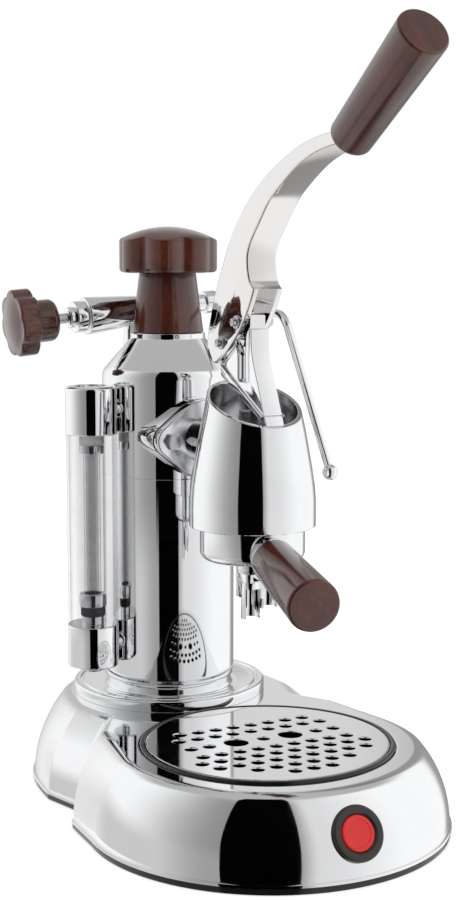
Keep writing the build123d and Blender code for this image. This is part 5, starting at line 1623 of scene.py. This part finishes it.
@dataclass
class GroupHead(SubAssembly):
    """Group casting with its bell, lever block, neck and flange."""

    y: float = GROUP_Y
    bell: tuple[Point, ...] = ((34.6, 168.0), (34.6, 176.0), (33.4, 190.0), (31.0, 204.0), (28.4, 218.0),
                               (26.2, 228.0), (25.0, 236.0), (24.0, 244.0))
    wall: float = 2.2
    cut: float = 231.3
    slope: float = 0.42
    block: float = 5.5
    pivot: Point = FULCRUM
    ear: float = 9.4
    handle: float = HANDLE_TURN
    ledge: float = 7.2
    rod_bore: Spot = (4.2, 214.0, 300.0)
    flange_y: Point = (-48.0, -54.0)
    crisp: float = 34.0

    def shell(self) -> Piece:
        """Bell cut by the oblique plane, with a rounded rim.

        Returns:
            The bell.
        """
        outer = [(34.3, 163.6), (34.6, 163.9)] + smooth_line(self.bell, 7)
        inner = [(r - self.wall, z) for r, z in smooth_line(self.bell, 7) if z > 184.0][::-1]
        section = outer + inner + [(32.2, 183.0), (26.7, 183.0), (26.7, 176.2), (29.7, 176.2), (29.7, 170.8),
                                   (33.0, 170.8), (33.0, 165.6), (30.0, 165.6), (30.0, 163.9), (30.3, 163.6)]
        made = Shape.lathe("group_bell", section, Place.upright(0, self.y), 144, True)
        work = bmesh.new()
        work.from_mesh(made.data)
        normal = Vector((0, -self.slope, 1)).normalized()
        spot = Vector((0, self.y, self.cut)) * MM
        geometry = work.verts[:] + work.edges[:] + work.faces[:]
        bmesh.ops.bisect_plane(work, geom=geometry, plane_co=spot, plane_no=normal, clear_outer=True)
        border = [e for e in work.edges if len(e.link_faces) == 1]
        bmesh.ops.bridge_loops(work, edges=border)
        rims = [e for e in work.edges if all(abs((v.co - spot).dot(normal)) < 1e-6 for v in e.verts)
                and any(abs(f.normal.dot(normal)) < 0.9 for f in e.link_faces)]
        bmesh.ops.bevel(work, geom=rims, offset=0.55 * MM, segments=3, profile=0.5, affect="EDGES",
                        clamp_overlap=True)
        work.to_mesh(made.data)
        work.free()
        Shape.tidy(made.data, self.crisp)
        for side in (-90.0, 90.0):
            Shape.combine(made, self.bayonet(self.handle + side), Boolean.CUT, self.crisp)
        return made

    def bayonet(self, middle: float) -> Piece:
        """Cutter of one entry slot and its ramp.

        Args:
            middle: angle of the lug's middle at rest, in degrees.

        Returns:
            The cutter.
        """
        start, stop = middle - 54.0, middle - 26.0
        ramp = [(middle + 12.0 - step * 8.0, 165.6 - (step + 1) * 0.2 - 0.02) for step in range(4, -1, -1)]
        ramp.append((middle + 12.4, 165.7))
        verts: list[Vector] = []
        place = Place.upright(0, self.y)
        for angle, low in [(start, 163.0), (middle - 40.0, 163.0), (stop, 163.0), (stop + 0.2, 164.58)] + ramp:
            t = math.radians(angle)
            for radius in (28.0, 32.75):
                verts.append(place.at(radius * math.cos(t), radius * math.sin(t), low))
                verts.append(place.at(radius * math.cos(t), radius * math.sin(t), 166.4))
        faces = []
        count = len(verts) // 4
        for i in range(count - 1):
            a, b = 4 * i, 4 * (i + 1)
            faces += [[a, b, b + 1, a + 1], [a + 2, a + 3, b + 3, b + 2],
                      [a, a + 2, b + 2, b], [a + 1, b + 1, b + 3, a + 3]]
        faces += [[0, 1, 3, 2], [4 * count - 4, 4 * count - 2, 4 * count - 1, 4 * count - 3]]
        return Shape.build("bayonet_cut", verts, faces)

    def lever_block(self) -> Piece:
        """Forked block that carries the lever, with its ledge.

        Returns:
            The block.
        """
        horn = smooth_line([(-136.5, 220.0), (-131.8, 229.9), (-125.8, 243.0), (-119.8, 257.0), (-118.7, 271.0)], 6)
        rest = rounded([(-118.7, 266.0), (-118.7, 271.0, 0.8), (-116.5, 271.0, 0.5), (-116.5, 242.0, 2.0),
                        (-103.1, 242.0, 2.0), (-103.1, 256.0, 2.0), (-98.5, 267.2)], False, 5)
        ear = arc(self.pivot, self.ear, 148.0, -1.2, 28)
        tail = rounded([(-81.1, 262.0), (-84.0, 250.0, 3.0), (-85.8, 243.8), (-132.6, 223.1), (-136.5, 220.0)],
                       False, 4)
        outline = horn[:-1] + rest[1:-1] + ear + tail[1:-1]
        block = Shape.prism("lever_block", outline, Place.side(), -self.block, self.block, 0.8, 3)
        ledge = Shape.prism("lever_ledge", [(-85.1, 249.9), (-134.4, 225.5), (-132.6, 223.1), (-85.8, 243.8)],
                            Place.side(), -self.ledge, self.ledge, 0.6, 3)
        for piece in (block, ledge):
            Shape.drill(piece, *self.rod_bore, Place.upright(0, self.y), 48)
        Shape.drill(block, PIN_BORE, -9.0, 9.0, Place.side(self.pivot), 32)
        return Shape.join("lever_block", [block, ledge])

    def neck(self) -> Piece:
        """Neck that ends on the bell's wall, and its flange.

        Returns:
            The neck with its flange.
        """
        back, front = self.flange_y
        pipe = Shape.rod("group_neck", 14.0, 0.0, 50.0, Place.front(back, 204.0), 96)
        wall = [(r - self.wall * 0.6, z) for r, z in smooth_line(self.bell, 5) if z > 183.0]
        core = Shape.lathe("bell_core", [(0, 182.0), *wall, (0, 244.0)], Place.upright(0, self.y), 96)
        Shape.combine(pipe, core, Boolean.CUT)
        plate = Shape.prism("group_flange", rhombus(), Place.front(back, FLANGE_Z), 0.0, back - front, 0.9, 4)
        return Shape.join("neck_and_flange", [pipe, plate])

    def is_satin(self, spot: Vector, normal: Vector) -> bool:
        """Whether a face of the casting is left satin: the bell's inside and the flange's front.

        Args:
            spot: the face's centre in millimetres.
            normal: the face's normal.

        Returns:
            Whether it is satin.
        """
        reach = math.hypot(spot.x, spot.y - self.y)
        out = (normal.x * spot.x + normal.y * (spot.y - self.y)) / max(reach, 0.1)
        inside = reach < 31.0 and spot.z < 246.0 and out < -0.3 and spot.z > 182.0
        return inside or (abs(spot.y - self.flange_y[1]) < 1.0 and normal.y < -0.5)

    def bolts(self) -> Piece:
        """Two hexagon bolts with washer faces.

        Returns:
            The bolts.
        """
        parts = []
        for side in (-22.0, 22.0):
            place = Place(Vector((side, self.flange_y[1], FLANGE_Z)), Vector((0, 0, 1)), Vector((-1, 0, 0)))
            corner = 4.3 / math.cos(math.radians(30))
            hexagon = [(corner * math.cos(math.radians(60 * i + 30)), corner * math.sin(math.radians(60 * i + 30)))
                       for i in range(6)]
            head = Shape.prism("bolt_head", hexagon, place, 0.0, 4.0)
            cone = Shape.lathe("bolt_ease", rounded([(0, -1), (6.5, -1), (6.5, 2.6), (4.1, 4.0), (0, 4.0)], False),
                               place, 48)
            Shape.combine(head, cone, Boolean.KEEP)
            parts += [head, Shape.rod("bolt_shank", 2.95, -17.0, 0.5, place, 32)]
        return Shape.join("flange_hex_bolts", parts)

    def make(self, nodes: dict) -> None:
        """Builds and dresses the group head.

        Args:
            nodes: the frame's nodes.
        """
        casting = Shape.join("group_bell_casting", [self.shell(), self.lever_block(), self.neck()], self.crisp)
        self.dress(casting, Finish.CHROME, "machine", "group_casting")
        casting.data.materials.append(Finish.SATIN.material())
        for face in casting.data.polygons:
            if self.is_satin(face.center / MM, face.normal):
                face.material_index = 1
        self.dress(self.bolts(), Finish.PLATED, "machine", "flange_bolts")
        self.keep(nodes, {"group_sleeve": Finish.STEEL, "rod_gland": Finish.STEEL, "piston": Finish.BRASS,
                          "piston_seals": Finish.RUBBER, "shower_screen": Finish.STEEL,
                          "group_gasket": Finish.RUBBER})


@dataclass
class LeverUnit(SubAssembly):
    """Lever with its wooden grip, pins, clips and the piston rod."""

    half: float = 9.0
    slot: float = 5.8
    pivot: Point = FULCRUM
    rod_pin: Point = (-108.95, 274.2)
    rear: tuple[Point, ...] = ((-209.2, 369.2), (-193.4, 367.5), (-177.0, 364.4), (-160.0, 358.8), (-142.3, 351.3),
                               (-124.0, 340.5), (-110.5, 329.6), (-100.8, 319.1), (-93.7, 308.5), (-87.7, 298.6),
                               (-80.2, 285.3), (-75.7, 274.1), (-72.1, 261.5), (-72.8, 255.6), (-76.7, 251.5),
                               (-82.5, 250.2))
    low: tuple[Point, ...] = ((-82.5, 250.2), (-92.6, 255.6), (-101.1, 261.4), (-109.5, 268.3), (-116.9, 276.1),
                              (-122.5, 283.3), (-127.9, 292.3))
    front: tuple[Point, ...] = ((-127.9, 292.3), (-124.1, 294.8), (-120.9, 301.7), (-120.3, 309.5), (-125.0, 318.2),
                                (-133.3, 326.7), (-144.2, 337.4), (-156.6, 345.4), (-170.4, 352.6), (-183.7, 357.7),
                                (-199.8, 361.2), (-213.9, 362.8))
    grip_low: Point = (-209.4, 364.9)
    grip_top: Point = (-272.6, 408.6)

    def fork(self) -> Piece:
        """Bent bar with two cheeks.

        Returns:
            The bar.
        """
        outline = smooth_line(self.rear, 4)[:-1] + smooth_line(self.low, 4)[:-1] + smooth_line(self.front, 4)
        side = Place.side()
        bar = Shape.prism("lever_bar", outline, side, -self.half, self.half, 1.3, 4)
        gap = rounded([(-150.0, 291.6), (-150.0, 230.0), (-60.0, 230.0), (-60.0, 294.4)], True, 4)
        Shape.combine(bar, Shape.prism("fork_gap", gap, side, -self.slot, self.slot), Boolean.CUT)
        for spot in (self.pivot, self.rod_pin):
            Shape.drill(bar, PIN_BORE, -12.0, 12.0, Place.side(spot), 40)
        return bar

    def grip_place(self) -> Place:
        """Frame of the grip, with its normal along the grip."""
        one, two = Vector((0, *self.grip_low)), Vector((0, *self.grip_top))
        return Place.along(one, two - one)

    def pin(self, name: str, spot: Point) -> Piece:
        """One pin with eased ends."""
        section = rounded([(0, -12.4), (2.2, -12.4, 0.6), (2.2, 12.4, 0.6), (0, 12.4)], False, 4)
        return Shape.lathe(name, section, Place.side(spot), 48)

    def clips(self) -> Piece:
        """Four flat clips on the pins.

        Returns:
            The clips.
        """
        parts = []
        for spot in (self.pivot, self.rod_pin):
            for low, high in ((-10.0, -9.0), (9.0, 10.0)):
                section = rounded([(2.2, low), (3.6, low, 0.3), (3.6, high, 0.3), (2.2, high)], True, 3)
                parts.append(Shape.lathe("clip", section, Place.side(spot), 48, True))
        return Shape.join("lever_pin_clips", parts)

    def make(self, nodes: dict) -> None:
        """Builds and dresses the lever.

        Args:
            nodes: the frame's nodes.
        """
        place = self.grip_place()
        length = math.dist(self.grip_low, self.grip_top)
        tang = Shape.rod("lever_tang", 4.0, -4.0, 30.0, place, 48)
        self.dress(Shape.join("lever_bent_bar", [self.fork(), tang]), Finish.NICKEL, "lever", "lever_fork")
        section = rounded([(4.05, 0.0), (10.9, 0.0, 6.5), (12.9, length, 1.3), (0, length)], False, 10)
        self.dress(Shape.lathe("lever_wood_grip", section, place, 128, crisp=WOOD_CRISP), Finish.WOOD_LEVER, "lever",
                   "lever_handle")
        self.dress(self.pin("lever_pivot_pin", self.pivot), Finish.STEEL, "lever", "fulcrum_pin")
        self.dress(self.pin("lever_rod_pin", self.rod_pin), Finish.STEEL, "lever", "rod_pin")
        self.dress(self.clips(), Finish.STEEL, "lever", "pin_clips")
        self.keep(nodes, {"piston_rod": Finish.CHROME})


@dataclass
class PortafilterUnit(SubAssembly):
    """Portafilter with its basket, spout, ferrule and wooden handle."""

    y: float = GROUP_Y
    turn: float = HANDLE_TURN
    slope: float = 8.5
    axis_z: float = 156.8

    def arm_place(self) -> Place:
        """Frame of the arm, with its normal along the handle.

        Returns:
            The frame.
        """
        a, s = math.radians(self.turn), math.radians(self.slope)
        course = Vector((math.cos(a) * math.cos(s), math.sin(a) * math.cos(s), -math.sin(s)))
        return Place.along(Vector((0, self.y, self.axis_z)), course)

    def lug(self, middle: float) -> Piece:
        """One bayonet lug."""
        outline = arc((0, 0), 32.6, middle - 12, middle + 12, 8) + arc((0, 0), 27.5, middle + 12, middle - 12, 8)
        return Shape.prism("lug", outline, Place.upright(0, self.y), 165.9, 169.4, 0.3, 2)

    def spout(self) -> Piece:
        """Two open channels under a round hub.

        Returns:
            The spout.
        """
        hub = Shape.lathe("spout_hub", rounded([(0, 138.0), (9.0, 138.0, 1.0), (9.0, 145.0), (0, 145.0)], False),
                          Place.upright(0, self.y), 64)
        y = self.y - 4.0
        box = Shape.prism("spout_bridge", rounded([(-9.6, y - 8, 3), (9.6, y - 8, 3), (9.6, y + 7, 3),
                                                   (-9.6, y + 7, 3)]), Place.upright(0, 0), 125.0, 138.5)
        made = Shape.combine(hub, box, Boolean.JOIN)
        channels = [(Place.upright(side, self.y - 8.0), foot) for side, foot in ((-5.3, 114.0), (5.3, 119.0))]
        for place, foot in channels:
            leg = Shape.lathe("spout_leg", [(0, foot), (5.3, foot), (4.9, 134.0), (0, 134.0)], place, 48)
            Shape.combine(made, leg, Boolean.JOIN)
        for place, foot in channels:
            below = foot - 1.0
            bore = Shape.lathe("spout_bore", [(0, below), (4.4, below), (4.0, 135.5), (0, 135.5)], place, 48)
            Shape.combine(made, bore, Boolean.CUT)
            front = Shape.prism("spout_front", [(-4.2, -11.0), (4.2, -11.0), (4.2, -1.0), (-4.2, -1.0)], place,
                                below, 130.5)
            Shape.combine(made, front, Boolean.CUT)
        return Shape.bevel(made, 0.5, 2, 40.0)

    def make(self, nodes: dict) -> None:
        """Builds and dresses the portafilter.

        Args:
            nodes: the frame's nodes.
        """
        centre = Place.upright(0, self.y)
        arm = self.arm_place()
        cup = rounded([(3.0, 145.0), (28.8, 145.0, 5.0), (28.8, 163.3), (29.4, 163.3), (29.4, 169.5, 0.5),
                       (26.8, 169.5), (26.8, 148.2), (3.0, 148.2)], True, 8)
        body = Shape.lathe("filter_cup", cup, centre, 144, True)
        rod = Shape.rod("filter_arm", 5.0, 28.0, 80.0, arm, 64)
        parts = [body, rod] + [self.lug(self.turn + side) for side in (-90.0, 90.0)]
        self.dress(Shape.join("portafilter_cup", parts), Finish.CHROME, "portafilter", "portafilter_body")
        self.dress(self.spout(), Finish.CHROME, "portafilter", "spout")
        ring = rounded([(5.05, 30.2), (10.5, 30.2, 1.5), (11.5, 40.0, 0.4), (5.05, 40.0)], True, 6)
        self.dress(Shape.lathe("handle_ferrule", ring, arm, 112, True), Finish.CHROME, "portafilter", "ferrule")
        wood = rounded([(5.05, 40.0), (12.0, 40.0, 0.7), (13.75, 107.1, 1.6), (0, 107.1)], False, 8)
        self.dress(Shape.lathe("portafilter_wood_grip", wood, arm, 128, crisp=WOOD_CRISP), Finish.WOOD_FRONT,
                   "portafilter", "portafilter_handle")
        self.keep(nodes, {"basket": Finish.STEEL})


@dataclass
class Studio:
    """Floor, light tent, black card, lamps, world and camera."""

    location: Spot = (-0.40357, -0.88603, 0.31432)
    forward: Spot = (0.44128, 0.88875, -0.12410)
    lens: float = 64.87
    sensor: float = 36.0
    shift: Point = (0.0065, -0.0003)
    toward: Spot = (-0.4525, -0.8918, 0.0)
    right: Spot = (0.8918, -0.4525, 0.0)
    card_reach: float = 554.0
    card_side: Point = (-272.0, 178.0)
    card_top: float = 1500.0
    tent_y: float = -110.0
    tent_reach: float = 3000.0
    tent_heights: Spot = (-1300.0, 2600.0, 3400.0)
    wall_reach: float = 430.0
    wall_heights: Point = (-120.0, 110.0)
    wall_turns: Point = (-24.0, -150.0)
    ambient: float = 0.8
    floor_glow: float = 0.42
    floor_half: float = 4000.0
    aim: Spot = (0.0, -0.09, 0.2)
    lamps: tuple[tuple[str, Spot, Point, float], ...] = (
        ("key_lamp", (-0.9, -1.2, 1.5), (1.2, 1.2), 9.0),
        ("fill_lamp", (1.4, -0.9, 1.0), (0.9, 1.4), 5.0),
        ("top_lamp", (0.1, 0.2, 1.9), (1.6, 1.6), 6.0))

    @staticmethod
    def along(r: Recipe, spot: Wire, course: Spot, middle: float) -> Wire:
        """Metres along a level direction from a spot of the middle plane.

        Args:
            r: recipe that gets the nodes.
            spot: object coordinates.
            course: the direction.
            middle: the spot's place along Y in millimetres.

        Returns:
            The distance.
        """
        return r.dot(spot, course) - middle * MM * course[1]

    def floor(self) -> None:
        """Pale floor that keeps the object's shadow and shows white to the camera."""
        half = self.floor_half
        made = Shape.prism("studio_floor", [(-half, -half), (half, -half), (half, half), (-half, half)],
                           Place.upright(0, 0), -4.0, -0.02)
        r = Recipe.material("pale_floor")
        tone = r.noise(4.0, 2.0)
        seen = r.seen()
        pale = r.node("ShaderNodeBsdfPrincipled", {}, {
            "Base Color": r.tint(tone, (0.82, 0.82, 0.82), (0.80, 0.80, 0.80)), "Roughness": 0.9,
            "Specular IOR Level": 0.1}).out()
        both = r.node("ShaderNodeAddShader", {}, {0: pale, 1: r.glow(seen * self.floor_glow)}).out()
        made.data.materials.append(r.end(both))
        made.visible_glossy = False

    def tent(self) -> None:
        """Light tent that only reflections see: pale walls under a grey top."""
        (low, eave, peak), wide = self.tent_heights, self.tent_reach
        made = Shape.lathe("studio_light_tent", [(0, low), (wide, low), (wide, eave), (0, peak)],
                           Place.upright(0, self.tent_y), 96)
        r = Recipe.material("tent_cloth")
        spot = r.place()
        toward = self.along(r, spot, self.toward, self.tent_y)
        side = self.along(r, spot, self.right, self.tent_y)
        level = (toward * toward + side * side + 0.0001) ** 0.5
        height = (r.dot(spot, (0.0, 0.0, 1.0)) - 0.2) / level
        facing, side = toward / level, side / level
        left = 1.06 - facing.step(-0.35, 1.02) * 0.78
        right = 1.08 - facing.step(-0.1, 0.95) * 0.28 - facing.step(0.86, 0.985) * 0.52
        wall = (left + (right - left) * side.step(-0.12, 0.12)) * (facing.step(-0.97, -0.70) * 0.32 + 0.68)
        top = side.step(0.0, 0.6) * facing.step(0.0, 0.6) * (1 - height.step(1.0, 2.6)) * 0.25 + 0.5
        tone = wall + (top - wall) * (height - facing.step(-0.5, 0.5) * 0.7).step(0.45, 1.0)
        edge = side.step(-0.05, 0.05) * 0.12 - 0.94
        rear = ((side * side) ** 0.5).step(0.08, 0.22) * (1 - (facing - edge).step(-0.06, 0.06))
        flag = rear * (1 - height.step(0.8, 2.0)) * (side.step(-0.05, 0.05) * 0.30 + 0.25)
        made.data.materials.append(r.end(r.glow(tone * (1 - flag))))
        self.only_mirrored(made)

    def card(self) -> None:
        """Black card beside the camera, which the polished metal mirrors as one dark band."""
        low, high = self.card_side
        middle = Vector((0, GROUP_Y, 0)) + Vector(self.toward) * self.card_reach
        made = Shape.prism("studio_black_card", [(low, -600.0), (high, -600.0), (high, self.card_top),
                                                 (low, self.card_top)],
                           Place(middle, Vector(self.right), Vector((0, 0, 1))), 0.0, 2.0)
        r = Recipe.material("black_card")
        cloth = r.tint(r.noise(40.0), (0.0, 0.0, 0.0), (0.002, 0.002, 0.002))
        made.data.materials.append(r.surface({"Base Color": cloth, "Roughness": 1.0, "Specular IOR Level": 0.0}))
        self.only_mirrored(made)

    def low_wall(self) -> None:
        """Low grey wall on the left, which only the foot of the machine mirrors."""
        (low, high), reach = self.wall_heights, self.wall_reach
        heading = math.degrees(math.atan2(self.toward[1], self.toward[0]))
        start, stop = (heading + turn for turn in self.wall_turns)
        ring = arc((0.0, GROUP_Y), reach, start, stop, 48)
        verts = [Vector((x, y, z)) for z in (low, high) for x, y in ring]
        count = len(ring)
        made = Shape.build("studio_low_wall", verts, [[i, i + 1, count + i + 1, count + i] for i in range(count - 1)])
        r = Recipe.material("grey_wall")
        spot = r.place()
        facing = self.along(r, spot, self.toward, GROUP_Y) / (reach * MM)
        tone = 0.66 - facing.step(0.45, 0.92) * 0.28
        glow = r.glow(tone)
        clear = r.node("ShaderNodeBsdfTransparent", {}, {}).out()
        height = r.dot(spot, (0.0, 0.0, 1.0))
        both = r.node("ShaderNodeMixShader", {}, {
            0: (1 - height.step(-0.01, high * MM)) * facing.step(-0.85, -0.2), 1: clear, 2: glow}).out()
        made.data.materials.append(r.end(both))
        self.only_mirrored(made)

    @staticmethod
    def only_mirrored(made: Piece) -> None:
        """Hides a stage piece from all rays but reflections.

        Args:
            made: the stage piece.
        """
        made.visible_camera = False
        made.visible_shadow = False
        made.visible_diffuse = False
        made.visible_transmission = False
        made.visible_volume_scatter = False

    def lamp(self, name: str, spot: Spot, size: Point, power: float) -> None:
        """Soft rectangular lamp that faces the machine.

        Args:
            name: the lamp's name.
            spot: its place in metres.
            size: its width and height in metres.
            power: its power in watts.
        """
        data = bpy.data.lights.new(name, "AREA")
        data.shape = "RECTANGLE"
        data.size, data.size_y = size
        data.energy = power
        made = linked(name, data)
        made.location = spot
        made.rotation_euler = (Vector(self.aim) - Vector(spot)).to_track_quat("-Z", "Y").to_euler()
        made.visible_glossy = False

    def world(self) -> None:
        """White surroundings for camera, glossy and transmission rays over an even light."""
        world = bpy.data.worlds.new("studio_world")
        bpy.context.scene.world = world
        r = Recipe(world)
        back = r.node("ShaderNodeBackground", {}, {
            "Color": (1.0, 1.0, 1.0), "Strength": r.seen() * (1.0 - self.ambient) + self.ambient}).out()
        r.node("ShaderNodeOutputWorld", {}, {"Surface": back})

    def camera(self) -> None:
        """Camera at the photograph's viewing angle."""
        data = bpy.data.cameras.new("camera")
        data.lens = self.lens
        data.sensor_width = self.sensor
        data.sensor_fit = "AUTO"
        data.shift_x, data.shift_y = self.shift
        made = linked("camera", data)
        made.location = self.location
        made.rotation_euler = Vector(self.forward).to_track_quat("-Z", "Y").to_euler()
        bpy.context.scene.camera = made

    def make(self) -> None:
        """Builds the studio."""
        scene = bpy.context.scene
        scene.view_settings.view_transform = "Standard"
        self.camera()
        self.world()
        self.floor()
        self.tent()
        self.card()
        self.low_wall()
        for lamp in self.lamps:
            self.lamp(*lamp)


def main() -> None:
    """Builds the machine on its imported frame."""
    logging.basicConfig(level=logging.INFO, format="%(message)s")
    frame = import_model()
    nodes = frame["nodes"]
    studio = Studio()
    studio.make()
    base = BaseUnit()
    units = [base, DripStation(), SwitchUnit(base.switch_place()), BoilerUnit(), CapUnit(), SteamUnit(), SightGlass(),
             GroupHead(), LeverUnit(), PortafilterUnit()]
    for unit in units:
        unit.make(nodes)
        LOG.info("%s: %d pieces", type(unit).__name__, unit.count)
    bpy.context.view_layer.update()


if __name__ == "__main__":
    main()
